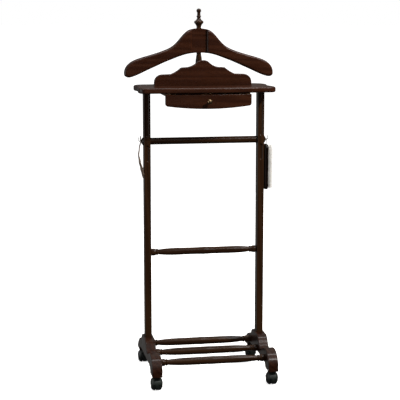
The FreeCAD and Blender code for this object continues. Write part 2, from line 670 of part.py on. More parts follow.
# ---------------------------------------------------------------- drawer
def drawer_front():
    half = DRAWER_WIDTH / 2
    back = DRAWER_BACK_OF_FRONT
    low, top = DRAWER_TOP - DRAWER_FRONT_HEIGHT, DRAWER_TOP
    end_low = low + DRAWER_SWEEP
    corner = DRAWER_CORNER
    cut = corner * (1 - math.sqrt(0.5))
    bow_radius = (half ** 2 + SHELF_BOW ** 2) / (2 * SHELF_BOW)
    wide = half + 5
    wide_y = pull_seat() + bow_radius - math.sqrt(bow_radius ** 2 - wide ** 2)
    plan = prism(outline(
        lambda x, y: V(x, y, low - 1),
        (-wide, wide_y), ((0, pull_seat()), (wide, wide_y)), ((wide, back),), ((-wide, back),),
        ((-wide, wide_y),),
    ), V(0, 0, DRAWER_FRONT_HEIGHT + 2))
    face = prism(outline(
        lambda x, z: V(x, pull_seat() - 5, z),
        (-half, top), ((-half, end_low + corner),),
        ((-half + cut, end_low + cut), (-half + corner, end_low)),
        ((0, low), (half - corner, end_low)),
        ((half - cut, end_low + cut), (half, end_low + corner)), ((half, top),), ((-half, top),),
    ), V(0, back - pull_seat() + 10, 0))
    body = plan.common(face)
    body = round_edges(body, DRAWER_FRONT_ROUND, lambda e: e.BoundBox.YMax < back - 1 and max(
        e.BoundBox.XLength, e.BoundBox.ZLength) > 3)
    groove = block(
        (-panel_half_width() - GLUE, panel_half_width() + GLUE),
        (back - PANEL_GROOVE - GLUE, back + 1), (panel_z() - GLUE, panel_z() + DRAWER_PANEL + GLUE),
    )
    pull_hole = rod(V(0, back + 1, pull_z()), Y_AXIS * -1, SCREW_DIAMETER + 2 * GLUE, 60)
    return body.cut([groove, pull_hole])


def panel_half_width():
    return DRAWER_SIDE_OUTER - DRAWER_BOARD + PANEL_GROOVE


def panel_z():
    return DRAWER_SIDE_TOP - DRAWER_SIDE_HEIGHT + PANEL_RAISE


def pull_z():
    return DRAWER_TOP - PULL_BELOW_TOP


def drawer_side():
    low = DRAWER_SIDE_TOP - DRAWER_SIDE_HEIGHT
    body = block(
        (DRAWER_SIDE_OUTER - DRAWER_BOARD, DRAWER_SIDE_OUTER),
        (DRAWER_BACK_OF_FRONT, DRAWER_BOX_REAR), (low, DRAWER_SIDE_TOP),
    )
    body = ease_along(body, {"x": DRAWER_SIDE_OUTER - DRAWER_BOARD, "z": DRAWER_SIDE_TOP})
    body = ease_along(body, {"x": DRAWER_SIDE_OUTER, "z": low})
    groove = block(
        (DRAWER_SIDE_OUTER - DRAWER_BOARD - 1, panel_half_width() + GLUE),
        (DRAWER_BACK_OF_FRONT - 1, DRAWER_BOX_REAR - DRAWER_BOARD + GLUE),
        (panel_z() - GLUE, panel_z() + DRAWER_PANEL + GLUE),
    )
    return body.cut(groove)


def drawer_back():
    inner = DRAWER_SIDE_OUTER - DRAWER_BOARD
    low, depth = DRAWER_SIDE_TOP - DRAWER_SIDE_HEIGHT, (DRAWER_BOX_REAR - DRAWER_BOARD, DRAWER_BOX_REAR)
    body = block((-inner, inner), depth, (low, DRAWER_SIDE_TOP))
    for y, z in ((depth[0], DRAWER_SIDE_TOP), (depth[1], DRAWER_SIDE_TOP), (depth[1], low)):
        body = ease_along(body, {"y": y, "z": z})
    return body


def drawer_bottom():
    half = panel_half_width()
    return block(
        (-half, half), (DRAWER_BACK_OF_FRONT - PANEL_GROOVE, DRAWER_BOX_REAR - DRAWER_BOARD),
        (panel_z(), panel_z() + DRAWER_PANEL),
    )


def drawer_guide():
    return block(
        (DRAWER_SIDE_OUTER, DRAWER_SIDE_OUTER + GUIDE_WIDTH),
        (DRAWER_BACK_OF_FRONT, DRAWER_BOX_REAR), (DRAWER_SIDE_TOP - GUIDE_THICK, DRAWER_SIDE_TOP),
    )


def drawer_runner():
    """L-shaped cleat under the shelf; its lip carries the drawer's guide strip."""
    lip_in = DRAWER_SIDE_OUTER + RUNNER_LIP_GAP
    wall_in = DRAWER_SIDE_OUTER + GUIDE_WIDTH + AIR
    front = DRAWER_BACK_OF_FRONT + RUNNER_SETBACK
    bottom = SHELF_UNDERSIDE - RUNNER_HEIGHT
    y = (front, front + RUNNER_LENGTH)
    wall = block((wall_in, wall_in + RUNNER_BLOCK), y, (bottom, SHELF_UNDERSIDE))
    lip_top = DRAWER_SIDE_TOP - GUIDE_THICK - AIR
    lip = block((lip_in, wall_in + 1), y, (bottom, lip_top))
    body = wall.fuse(lip).removeSplitter()
    return ease_along(body, {"x": wall_in + RUNNER_BLOCK, "z": bottom})


def runner_screws():
    x = DRAWER_SIDE_OUTER + GUIDE_WIDTH + AIR + RUNNER_BLOCK / 2
    front = DRAWER_BACK_OF_FRONT + RUNNER_SETBACK
    bottom = SHELF_UNDERSIDE - RUNNER_HEIGHT
    return [(x, front + RUNNER_LENGTH * part, bottom) for part in (0.12, 0.5, 0.88)]


def runner_screw(at, room=0.0):
    radius, head = SCREW_DIAMETER / 2 + room, SCREW_HEAD / 2 + room
    length = RUNNER_HEIGHT + SHELF_THICK * 0.7
    return turned(
        V(*at), Z_AXIS,
        (0, 0), ((0, head),), ((0.6, head),), ((0.6 + head - radius, radius),), ((length - 3, radius),),
        ((length, 0.4),), ((length, 0),), ((0, 0),),
    )


def drawer_stop():
    y = DRAWER_BOX_REAR - DRAWER_BOARD - DRAWER_TRAVEL - AIR - STOP_DEPTH
    low = SHELF_UNDERSIDE - STOP_HEIGHT
    body = block((-STOP_WIDTH / 2, STOP_WIDTH / 2), (y, y + STOP_DEPTH), (low, SHELF_UNDERSIDE))
    for edge_y in (y, y + STOP_DEPTH):
        body = ease_along(body, {"y": edge_y, "z": low})
    return body


def pull_seat():
    return SHELF_FRONT_Y + DRAWER_SETBACK - SHELF_BOW


def drawer_pull():
    radius = PULL_DIAMETER / 2
    body = turned(
        V(0, pull_seat(), pull_z()), Y_AXIS * -1,
        (0, 0), ((0, radius - 1.5),), ((1.5, radius - 1.2), (3, radius - 3.6)),
        ((6, radius - 4.2), (9, radius - 2.4)), ((11.5, radius), (14, radius - 1.2)),
        dome(14, radius - 1.2, PULL_LENGTH), ((0, 0),),
    )
    hole = rod(V(0, pull_seat() + 1, pull_z()), Y_AXIS * -1, SCREW_DIAMETER, PULL_SCREW_BITE + 2)
    return body.cut(hole)


def pull_screw():
    back = DRAWER_BACK_OF_FRONT
    length = back - pull_seat() + PULL_SCREW_BITE
    head = rod(V(0, back, pull_z()), Y_AXIS, SCREW_HEAD, PULL_SCREW_HEAD)
    return head.fuse(rod(V(0, back, pull_z()), Y_AXIS * -1, SCREW_DIAMETER, length)).removeSplitter()


# ---------------------------------------------------------------- shoehorn and brush
def crescent(z, x_out, width, sag):
    """Cross-section of the horn: a shallow arc, its hollow side towards the post."""
    half = width / 2
    out = lambda x, y: V(-(POST_OUTER + x), POST_Y + y, z)
    return outline(
        out, (x_out - sag, -half), ((x_out, 0), (x_out - sag, half)),
        ((x_out - sag - HORN_THICK, half),),
        ((x_out - HORN_THICK, 0), (x_out - sag - HORN_THICK, -half)), ((x_out - sag, -half),),
    )


def shoehorn():
    """Bent horn seen edge-on from the front, hung by its hole on the left hook."""
    top = BAR_HEIGHT + HORN_ABOVE_HOOK
    hang = KNOB_LENGTH + ITEM_PLACE + HORN_THICK / 2
    handle, scoop = HORN_HANDLE_WIDTH, HORN_SCOOP_WIDTH
    stations = [
        (0.00, hang, 0.45 * handle, 0.02), (0.02, hang, 0.78 * handle, 0.02), (0.055, hang, handle, 0.02),
        (0.16, hang + 0.6, 0.98 * handle, 0.05), (0.30, hang + 5.0, 0.92 * handle, 0.6),
        (0.43, hang + 7.8, 1.05 * handle, 1.8), (0.58, hang + 6.0, 0.72 * scoop, 4.0),
        (0.76, hang + 1.4, 0.97 * scoop, 6.0), (0.88, hang - 2.4, scoop, 5.6),
        (0.96, hang - 5.0, 0.80 * scoop, 3.0), (1.00, hang - 6.4, 0.42 * scoop, 0.9),
    ]
    wires = [crescent(top - HORN_LENGTH * t, x, w, s) for t, x, w, s in stations]
    body = Part.makeLoft(wires, True, False)
    hole = rod(V(-(POST_OUTER + hang + 5), POST_Y, BAR_HEIGHT), X_AXIS, HOOK_WIRE + 2 * AIR, 10)
    return body.cut(hole)


def brush_top():
    return BAR_HEIGHT - BRUSH_DROP


def brush_body():
    half = BRUSH_WIDTH / 2
    x0 = ITEM_X - BRUSH_OFFSET - BRUSH_THICK / 2
    top, low = brush_top(), brush_top() - BRUSH_LENGTH
    body = block((x0, x0 + BRUSH_THICK), (POST_Y - half, POST_Y + half), (low, top))
    body = round_edges(body, BRUSH_CORNER, lambda e: abs(e.Length - BRUSH_THICK) < 1e-6)
    body = round_edges(body, BRUSH_ROUND, lambda e: flat_in(e, "x", x0))
    return body.cut(rod(V(ITEM_X, POST_Y, top + 1), Z_AXIS * -1, EYE_WIRE, EYE_SHANK_IN + 2))


def brush_bristles():
    half = BRUSH_WIDTH / 2 - BRISTLE_MARGIN
    x0 = ITEM_X - BRUSH_OFFSET + BRUSH_THICK / 2
    top, low = brush_top() - BRISTLE_MARGIN, brush_top() - BRUSH_LENGTH + BRISTLE_MARGIN
    body = block((x0, x0 + BRISTLE_LENGTH), (POST_Y - half, POST_Y + half), (low, top))
    return round_edges(body, 8.0, lambda e: abs(e.Length - BRISTLE_LENGTH) < 1e-6)


def brush_eye():
    """Screw eye whose ring hangs on the right hook."""
    drop = EYE_RADIUS - EYE_WIRE / 2 - HOOK_WIRE / 2 - AIR
    centre = V(ITEM_X, POST_Y, BAR_HEIGHT - drop)
    ring = Part.makeTorus(EYE_RADIUS, EYE_WIRE / 2, centre, X_AXIS)
    length = centre.z - EYE_RADIUS - brush_top() + EYE_SHANK_IN
    shank = rod(centre - Z_AXIS * EYE_RADIUS, Z_AXIS * -1, EYE_WIRE, length)
    return ring.fuse(shank).removeSplitter()


# ---------------------------------------------------------------- casters
def caster_sockets():
    """Flanged plastic sleeves pressed into the feet, one over each caster."""
    sleeves = []
    for x in (-FOOT_X, FOOT_X):
        for y in (-CASTER_STEM_Y, CASTER_STEM_Y):
            low = TOE_UNDERSIDE - SOCKET_FLANGE
            flange = rod(V(x, y, low), Z_AXIS, SOCKET_FLANGE_DIAMETER, SOCKET_FLANGE)
            sleeve = rod(V(x, y, TOE_UNDERSIDE), Z_AXIS, SOCKET_DIAMETER, STEM_IN_FOOT + SOCKET_END)
            bore_length = SOCKET_FLANGE + STEM_IN_FOOT
            bore = rod(V(x, y, low - 1), Z_AXIS, STEM_DIAMETER + 2 * RUN, bore_length + 1)
            sleeves.append(flange.fuse(sleeve).removeSplitter().cut(bore))
    return Part.makeCompound(sleeves)


def hood_top():
    return TOE_UNDERSIDE - SOCKET_FLANGE - AIR


def hood_drum(axle, radius):
    """Turned drum with rounded shoulders: the outside or the inside of a hood."""
    wide, fall = TWIN_WIDTH, WHEEL_ROUND
    nip = fall * (1 - math.sqrt(0.5))
    return turned(
        axle - X_AXIS * (wide / 2), X_AXIS,
        (0, 0), ((0, radius - fall),), ((nip, radius - nip), (fall, radius)), ((wide - fall, radius),),
        ((wide - nip, radius - nip), (wide, radius - fall)), ((wide, 0),), ((0, 0),),
    )


def caster_hood(x, side_y):
    """Housing of one caster: a hood over the wheels, the web between them and the stem."""
    stem_y = side_y * CASTER_STEM_Y
    axle_y = stem_y + side_y * CASTER_TRAIL
    axle = V(x, axle_y, WHEEL_RADIUS)
    inner = WHEEL_RADIUS + HOOD_GAP
    half = TWIN_WIDTH / 2
    inside = hood_drum(axle, inner)
    side_opening = rod(axle - X_AXIS * (half + 1), X_AXIS, 2 * (inner - WHEEL_ROUND), 2 * half + 2)
    above = block((x - 40, x + 40), (axle_y - 40, axle_y + 40), (WHEEL_RADIUS + 3, hood_top()))
    shell = hood_drum(axle, inner + HOOD_THICK).cut([inside, side_opening]).common(above)
    web = Part.makeCylinder(inner + HOOD_THICK, WEB_THICK, axle - X_AXIS * (WEB_THICK / 2), X_AXIS)
    web = web.common(block((x - 40, x + 40), (axle_y - 40, axle_y + 40), (4, hood_top())))
    neck_width = SOCKET_FLANGE_DIAMETER * 0.8
    neck = rod(V(x, stem_y, WHEEL_RADIUS + 12), Z_AXIS, neck_width, hood_top() - WHEEL_RADIUS - 12)
    neck = neck.cut(inside)
    web_link = block(
        (x - WEB_THICK / 2, x + WEB_THICK / 2), (stem_y - 5, stem_y + 5), (WHEEL_RADIUS + 2, hood_top())
    )
    stem_top = TOE_UNDERSIDE + STEM_IN_FOOT - TOP_OF_STEM_GAP
    stem_low = hood_top() - STEM_START
    stem = rod(V(x, stem_y, stem_low), Z_AXIS, STEM_DIAMETER, stem_top - stem_low)
    stem = stem.cut(inside)
    body = shell.fuse([web, neck, web_link, stem]).removeSplitter()
    return body.cut(rod(axle - X_AXIS * 30, X_AXIS, AXLE_DIAMETER + 2 * RUN, 60))


def caster_wheels(x, side_y):
    """Two moulded wheels, one on each side of the web."""
    axle_y = side_y * (CASTER_STEM_Y + CASTER_TRAIL)
    start = WEB_THICK / 2 + AIR
    pair = []
    for way in (-1, 1):
        wheel = turned(
            V(x + way * start, axle_y, WHEEL_RADIUS), X_AXIS * way,
            (0, AXLE_DIAMETER / 2), ((0, WHEEL_RADIUS - 1),), ((1, WHEEL_RADIUS),),
            ((WHEEL_WIDTH - WHEEL_ROUND, WHEEL_RADIUS),),
            ((WHEEL_WIDTH - WHEEL_ROUND * 0.29, WHEEL_RADIUS - WHEEL_ROUND * 0.29),
             (WHEEL_WIDTH, WHEEL_RADIUS - WHEEL_ROUND)),
            ((WHEEL_WIDTH, WHEEL_RADIUS - 8.5),), ((WHEEL_WIDTH - 1.5, WHEEL_RADIUS - 10),),
            ((WHEEL_WIDTH - 1.5, 5),), ((WHEEL_WIDTH, 4),), ((WHEEL_WIDTH, AXLE_DIAMETER / 2),),
            ((0, AXLE_DIAMETER / 2),),
        )
        pair.append(wheel)
    return Part.makeCompound(pair)


def caster_axle(x, side_y):
    half = TWIN_WIDTH / 2 - 1
    axle_y = side_y * (CASTER_STEM_Y + CASTER_TRAIL)
    return rod(V(x - half, axle_y, WHEEL_RADIUS), X_AXIS, AXLE_DIAMETER, 2 * half)


# ---------------------------------------------------------------- write every piece
def main():
    os.makedirs("parts", exist_ok=True)
    save_pair("SIDE_foot", foot())
    save_pair("SIDE_post", post())
    for name, y in zip(("front", "middle", "rear"), base_rail_ys()):
        save("base_rail_" + name, turned_rail(FOOT_INNER, BASE_RAIL_DIAMETER, BASE_RAIL_HEIGHT, y))
    save("mid_rail", turned_rail(POST_INNER, MID_RAIL_DIAMETER, MID_RAIL_HEIGHT, POST_Y))
    save("foot_bolts", Part.makeCompound([foot_bolt(), mirrored(foot_bolt())]))
    save("trouser_bar", trouser_bar())
    save_pair("bar_knob_SIDE", bar_knob())
    save_pair("hook_SIDE", hook())

    save("shelf", shelf())
    save("shelf_dowels", Part.makeCompound([shelf_dowel(), mirrored(shelf_dowel())]))
    save("crest_board", crest_board())
    save("crest_screws", Part.makeCompound([crest_screw(x) for x in crest_screw_xs()]))

    save("hanger_spindle", hanger_spindle())
    save("hanger_hub", hanger_hub())
    save_pair("hanger_arm_SIDE", hanger_arm())
    save("finial", finial())
    save("finial_rod", rod(V(0, HANGER_Y, rod_bottom()), Z_AXIS, ROD_DIAMETER, ROD_LENGTH))

    screws = [runner_screw(at) for at in runner_screws()]
    holes = [runner_screw(at, GLUE) for at in runner_screws()]
    save_pair("drawer_runner_SIDE", drawer_runner().cut(holes))
    save("runner_screws", Part.makeCompound(screws + [mirrored(s) for s in screws]))
    save("drawer_stop", drawer_stop())
    save("drawer_front", drawer_front())
    save_pair("drawer_side_SIDE", drawer_side())
    save_pair("drawer_guide_SIDE", drawer_guide())
    save("drawer_back", drawer_back())
    save("drawer_bottom", drawer_bottom())
    save("drawer_pull", drawer_pull())
    save("pull_screw", pull_screw())

    save("shoehorn", shoehorn())
    save("brush_body", brush_body())
    save("brush_bristles", brush_bristles())
    save("brush_eye", brush_eye())

    save("caster_sockets", caster_sockets())
    for front_rear, side_y in (("front", -1), ("rear", 1)):
        for left_right, x in (("left", -FOOT_X), ("right", FOOT_X)):
            place = front_rear + "_" + left_right
            save("caster_hood_" + place, caster_hood(x, side_y))
            save("caster_wheels_" + place, caster_wheels(x, side_y))
            save("caster_axle_" + place, caster_axle(x, side_y))


main()
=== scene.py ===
"""Looks of the valet stand: lacquered hardwood, bright hooks, shoehorn, clothes brush and casters."""
import math
import random

import bmesh
import bpy
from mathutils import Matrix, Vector


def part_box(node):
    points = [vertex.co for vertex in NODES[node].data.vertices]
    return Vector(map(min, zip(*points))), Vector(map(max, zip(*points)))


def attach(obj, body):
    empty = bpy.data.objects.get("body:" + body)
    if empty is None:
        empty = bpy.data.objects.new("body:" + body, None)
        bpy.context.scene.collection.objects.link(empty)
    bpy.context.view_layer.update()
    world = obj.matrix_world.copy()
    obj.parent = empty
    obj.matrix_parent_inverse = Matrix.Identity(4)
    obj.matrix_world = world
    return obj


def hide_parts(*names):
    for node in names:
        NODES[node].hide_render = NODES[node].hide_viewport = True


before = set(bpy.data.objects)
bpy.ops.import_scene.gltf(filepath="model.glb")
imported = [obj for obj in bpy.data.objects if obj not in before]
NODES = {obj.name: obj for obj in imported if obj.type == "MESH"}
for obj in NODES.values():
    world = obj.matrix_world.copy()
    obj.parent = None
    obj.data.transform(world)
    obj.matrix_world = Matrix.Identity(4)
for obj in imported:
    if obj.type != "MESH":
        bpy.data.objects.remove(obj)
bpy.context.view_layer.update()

MM = 0.001
X, Y, Z = Vector((1, 0, 0)), Vector((0, 1, 0)), Vector((0, 0, 1))
PLACES = [f"{end}_{side}" for end in ("front", "rear") for side in ("left", "right")]


# ---------------------------------------------------------------- node trees
class Tree:
    """A node tree with short calls for adding a node with its inputs set or linked."""

    def __init__(self, tree):
        self.tree = tree

    def add(self, kind, settings=None, **inputs):
        """New node. An input is given by its name, with _ for a space, or as i0, i1 ... by its place."""
        node = self.tree.nodes.new("ShaderNode" + kind)
        for key, value in (settings or {}).items():
            setattr(node, key, value)
        return self.fill(node, inputs)

    def fill(self, node, inputs):
        """Sets or links a node's inputs."""
        for key, value in inputs.items():
            self.feed(node, key, value)
        return node

    def feed(self, node, key, value):
        """Links a socket, or a node's first output, to an input, or sets the input's value."""
        numbered = key[0] == "i" and key[1:].isdigit()
        socket = node.inputs[int(key[1:]) if numbered else key.replace("_", " ")]
        if isinstance(value, bpy.types.NodeSocket):
            self.tree.links.new(value, socket)
        elif isinstance(value, bpy.types.Node):
            self.tree.links.new(value.outputs[0], socket)
        elif socket.type == "RGBA" and len(value) == 3:
            socket.default_value = (*value, 1)
        else:
            socket.default_value = value

    def math(self, operation, a, b=0.0, clamp=False):
        return self.add("Math", {"operation": operation, "use_clamp": clamp}, i0=a, i1=b)

    def mix(self, factor, a, b, blend="MIX"):
        """Colour mix, whose factor, first and second colour are its inputs 0, 6 and 7."""
        node = self.add("Mix", {"data_type": "RGBA", "blend_type": blend}, i0=factor, i6=a, i7=b)
        return node.outputs[2]

    def ramp(self, value, low, high, to_low=0.0, to_high=1.0):
        """Smooth step of a value from one range to another."""
        return self.add(
            "MapRange", {"interpolation_type": "SMOOTHSTEP"}, Value=value,
            From_Min=low, From_Max=high, To_Min=to_low, To_Max=to_high,
        )


# ---------------------------------------------------------------- camera and studio
def add_object(name, data):
    """Puts new object data into the scene under a name."""
    obj = bpy.data.objects.new(name, data)
    bpy.context.scene.collection.objects.link(obj)
    return obj


def mesh_object(name, bm):
    """Turns an edited mesh into an object in the scene."""
    mesh = bpy.data.meshes.new(name)
    bm.to_mesh(mesh)
    bm.free()
    return add_object(name, mesh)


def aim(obj, target):
    """Turns a camera or a light, which look down their own -Z, towards a point."""
    obj.rotation_euler = (Vector(target) - obj.location).to_track_quat("-Z", "Y").to_euler()


def camera():
    """Long lens at the height of the hanger, a little to the left of the middle."""
    data = bpy.data.cameras.new("camera")
    data.lens = 112.84
    data.sensor_width = 36.0
    data.clip_end = 60.0
    obj = add_object("camera", data)
    obj.location = (-0.6919, -3.8752, 1.1920)
    aim(obj, (-0.0186, 0.0, 0.5672))
    bpy.context.scene.camera = obj


WARM_WHITE, WHITE = (1.0, 0.97, 0.93), (1, 1, 1)
# name, place, aimed at, width and height, power, tint, what it gives: colour, shine or both
SOFTBOXES = (
    ("key", (1.95, -1.75, 3.1), (0, 0, 0.75), (0.40, 0.40), 165, WARM_WHITE, "colour"),
    ("front_fill", (-0.9, -3.6, 1.1), (0, 0, 0.5), (1.8, 1.8), 26, WHITE, "colour"),
    ("overhead", (0.1, 0.5, 3.0), (0, 0, 0.6), (1.6, 0.7), 22, WHITE, "colour"),
    ("back_fill", (1.3, 3.5, 1.3), (0, 0, 0.6), (2.0, 1.8), 22, WHITE, "colour"),
    ("left_wall", (-2.8, 0.9, 1.3), (0, 0.1, 0.8), (1.2, 2.2), 12, WHITE, "both"),
    ("top_shine", (0.0, 0.1, 3.2), (0, 0.05, 1.0), (2.6, 0.5), 26, WHITE, "shine"),
    ("left_shine", (-3.0, -0.4, 1.0), (0, 0, 0.7), (1.4, 2.4), 16, WHITE, "shine"),
    ("high_shine", (1.5, -1.9, 3.2), (0, 0, 0.7), (1.5, 0.7), 40, WHITE, "shine"),
)


def softbox(name, place, target, size, power, tint, gives):
    """Rectangular lamp whose light on matt colour and in the gloss can be used apart."""
    data = bpy.data.lights.new(name, "AREA")
    data.shape = "RECTANGLE"
    data.size, data.size_y = size
    data.energy = power
    data.color = tint
    obj = add_object(name, data)
    obj.location = place
    aim(obj, target)
    obj.visible_glossy = gives != "colour"
    obj.visible_diffuse = gives != "shine"


def surroundings():
    """White to look at, but a dim room with a pale back wall for what the lacquer reflects."""
    world = bpy.data.worlds.new("room")
    bpy.context.scene.world = world
    world.use_nodes = True
    world.node_tree.nodes.clear()
    room = Tree(world.node_tree)
    direction = room.add("SeparateXYZ", i0=room.add("TexCoord").outputs["Generated"])
    wall = room.ramp(direction.outputs["Y"], -0.25, 0.75, 0.03, 0.125)
    above = room.ramp(direction.outputs["Z"], 0.25, 0.95, 0.0, 0.40)
    dim = room.add("Background", Color=(1.0, 0.99, 0.96), Strength=room.math("ADD", wall, above))
    white = room.add("Background", Color=WHITE)
    seen = room.add("LightPath").outputs["Is Camera Ray"]
    room.add("OutputWorld", Surface=room.add("MixShader", i0=seen, i1=dim, i2=white))


def floor():
    """Wide pale floor that glows to white away from the stand and is clear from below."""
    bm = bmesh.new()
    bmesh.ops.create_circle(bm, cap_ends=True, segments=96, radius=200.0)
    obj = mesh_object("studio_floor", bm)
    paint = Finish("studio_floor", Base_Color=(0.82, 0.82, 0.82), Roughness=0.9, Emission_Strength=1.0)
    away = paint.add("VectorMath", {"operation": "LENGTH"}, i0=paint.where).outputs["Value"]
    paint.set(Emission_Color=paint.ramp(away, 0.3, 1.8, 0.80, 1.0))
    below = paint.add("NewGeometry").outputs["Backfacing"]
    either = paint.add("MixShader", i0=below, i1=paint.shader, i2=paint.add("BsdfTransparent"))
    paint.feed(paint.tree.nodes["Material Output"], "Surface", either)
    obj.data.materials.append(paint.material)
    obj.visible_glossy = False
    obj.visible_diffuse = False


def studio():
    """Lights, floor and surroundings."""
    bpy.context.scene.view_settings.view_transform = "Standard"
    surroundings()
    floor()
    for lamp in SOFTBOXES:
        softbox(*lamp)


# ---------------------------------------------------------------- shader groups
def group(name, inputs, outputs):
    """New shader node group: its tree, its input node and its output node."""
    tree = bpy.data.node_groups.new(name, "ShaderNodeTree")
    for label, kind, value in inputs:
        socket = tree.interface.new_socket(label, in_out="INPUT", socket_type="NodeSocket" + kind)
        if value is not None:
            socket.default_value = value
    for label, kind in outputs:
        tree.interface.new_socket(label, in_out="OUTPUT", socket_type="NodeSocket" + kind)
    return Tree(tree), tree.nodes.new("NodeGroupInput"), tree.nodes.new("NodeGroupOutput")


def wood_figure_group():
    """Growth rings, fibre and pores of a fine hardwood, drawn out where Stretch is small."""
    g, given, out = group(
        "wood_figure",
        [("Vector", "Vector", None), ("Stretch", "Vector", (1, 1, 1)), ("Shift", "Vector", (0, 0, 0)),
         ("Dark", "Color", (0, 0, 0, 1)), ("Pale", "Color", (1, 1, 1, 1)), ("Pore Depth", "Float", 0.5)],
        [("Color", "Color"), ("Figure", "Float"), ("Pores", "Float")],
    )
    start, shift, stretch = (given.outputs[name] for name in ("Vector", "Shift", "Stretch"))
    moved = g.add("VectorMath", {"operation": "ADD"}, i0=start, i1=shift)
    along = g.add("VectorMath", {"operation": "MULTIPLY"}, i0=moved, i1=stretch)
    rings = g.add(
        "TexWave", {"wave_type": "BANDS", "bands_direction": "DIAGONAL"}, Vector=along,
        Scale=26.0, Distortion=7.0, Detail=3.0, Detail_Scale=1.4,
    )
    cloud = g.add("TexNoise", Vector=along, Scale=34.0, Detail=3.0)
    fine = g.add("VectorMath", {"operation": "MULTIPLY"}, i0=along, i1=stretch)
    fibre = g.add("TexNoise", Vector=fine, Scale=900.0, Detail=2.0)
    pores = g.add("TexNoise", Vector=along, Scale=1500.0, Detail=1.0)
    pits = g.ramp(pores.outputs[0], 0.60, 0.70)
    ring_part = g.math("MULTIPLY", rings.outputs[1], 0.45)
    cloud_part = g.math("MULTIPLY", cloud.outputs[0], 0.35)
    fibre_part = g.math("MULTIPLY", fibre.outputs[0], 0.30)
    figure = g.math("ADD", g.math("ADD", ring_part, cloud_part), fibre_part)
    shade = g.ramp(figure, 0.20, 0.90)
    colour = g.mix(shade.outputs[0], given.outputs["Dark"], given.outputs["Pale"])
    pitted = g.math("MULTIPLY", pits.outputs[0], given.outputs["Pore Depth"])
    colour = g.mix(pitted, colour, given.outputs["Dark"], "MULTIPLY")
    g.fill(out, {"Color": colour, "Figure": figure, "Pores": pits})
    return g.tree


def edge_rub_group():
    """Mask of the arrises, broken up by noise, where handling rubs a finish thin."""
    g, given, out = group(
        "edge_rub",
        [("Vector", "Vector", None), ("Radius", "Float", 0.002), ("Amount", "Float", 0.5)],
        [("Mask", "Float")],
    )
    rounded = g.add("Bevel", {"samples": 6}, Radius=given.outputs["Radius"])
    true = g.add("NewGeometry")
    facing = g.add("VectorMath", {"operation": "DOT_PRODUCT"}, i0=rounded, i1=true.outputs["Normal"])
    edge = g.ramp(facing.outputs["Value"], 1.0, 0.86)
    patch = g.add("TexNoise", Vector=given.outputs["Vector"], Scale=16.0, Detail=2.0)
    broken = g.ramp(patch.outputs[0], 0.25, 0.75)
    mask = g.math("MULTIPLY", edge.outputs[0], broken.outputs[0])
    mask = g.math("MULTIPLY", mask, given.outputs["Amount"], clamp=True)
    g.feed(out, "Mask", mask)
    return g.tree


def corner_shade_group():
    """Mask of quirks and inside corners, from ambient occlusion: where the finishes paint shade, and
    where metal takes its tarnish.
    """
    g, given, out = group(
        "corner_shade",
        [("Reach", "Float", 0.008), ("Amount", "Float", 0.5)],
        [("Mask", "Float")],
    )
    open_sky = g.add("AmbientOcclusion", {"samples": 6}, Distance=given.outputs["Reach"])
    deep = g.ramp(open_sky.outputs["AO"], 0.85, 0.35)
    mask = g.math("MULTIPLY", deep.outputs[0], given.outputs["Amount"], clamp=True)
    g.feed(out, "Mask", mask)
    return g.tree


def fine_wear_group():
    """Smears and hair scratches that change how glossy a surface is from place to place."""
    g, given, out = group(
        "fine_wear",
        [("Vector", "Vector", None), ("Low", "Float", 0.2), ("High", "Float", 0.4),
         ("Scale", "Float", 30.0)],
        [("Roughness", "Float"), ("Scratches", "Float")],
    )
    where = given.outputs["Vector"]
    smear = g.add("TexNoise", Vector=where, Scale=given.outputs["Scale"], Detail=6.0)
    slanted = g.add("Mapping", Vector=where, Rotation=(0.4, 0.9, 0.7), Scale=(40, 900, 40))
    lines = g.add("TexNoise", Vector=slanted, Scale=1.0, Detail=2.0)
    scratches = g.ramp(lines.outputs[0], 0.66, 0.74)
    spread = g.ramp(smear.outputs[0], 0.3, 0.7)
    total = g.math("ADD", spread, g.math("MULTIPLY", scratches, 0.4), clamp=True)
    span = g.math("SUBTRACT", given.outputs["High"], given.outputs["Low"])
    rough = g.add("Math", {"operation": "MULTIPLY_ADD"}, i0=total, i1=span, i2=given.outputs["Low"])
    g.fill(out, {"Roughness": rough, "Scratches": scratches})
    return g.tree


GROUPS = {
    "figure": wood_figure_group(), "rub": edge_rub_group(),
    "corner": corner_shade_group(), "wear": fine_wear_group(),
}


# ---------------------------------------------------------------- finishes
class Finish(Tree):
    """A material with its Principled shader, object coordinates and the shared groups."""

    def __init__(self, name, **constants):
        self.material = bpy.data.materials.new(name)
        self.material.use_nodes = True
        super().__init__(self.material.node_tree)
        self.shader = self.tree.nodes["Principled BSDF"]
        self.where = self.add("TexCoord").outputs["Object"]
        self.set(**constants)

    def use(self, name, **inputs):
        """Places one of the shared groups."""
        return self.add("Group", {"node_tree": GROUPS[name]}, **inputs)

    def set(self, **inputs):
        """Sets or links inputs of the Principled shader."""
        self.fill(self.shader, inputs)

    def bump(self, height, strength, distance):
        """Gives the surface fine relief."""
        self.set(Normal=self.add("Bump", Height=height, Strength=strength, Distance=distance))


ALONG = {"x": (0.06, 1, 1), "y": (1, 0.06, 1), "z": (1, 1, 0.06)}  # stretch of the figure, by grain
# Colours painted into quirks and inside corners as shade, on the lacquered wood, the plain inside wood
# and the bristle roots.
PAINTED_CORNER_SHADE, PAINTED_INSIDE_SHADE, ROOT_SHADE = (0.006, 0.004, 0.003), (0.08, 0.045, 0.025), (0.50, 0.46, 0.40)


def lighter(colour, times):
    """A colour made lighter, or darker below 1, and kept within range."""
    return tuple(min(1.0, part * times) for part in colour)


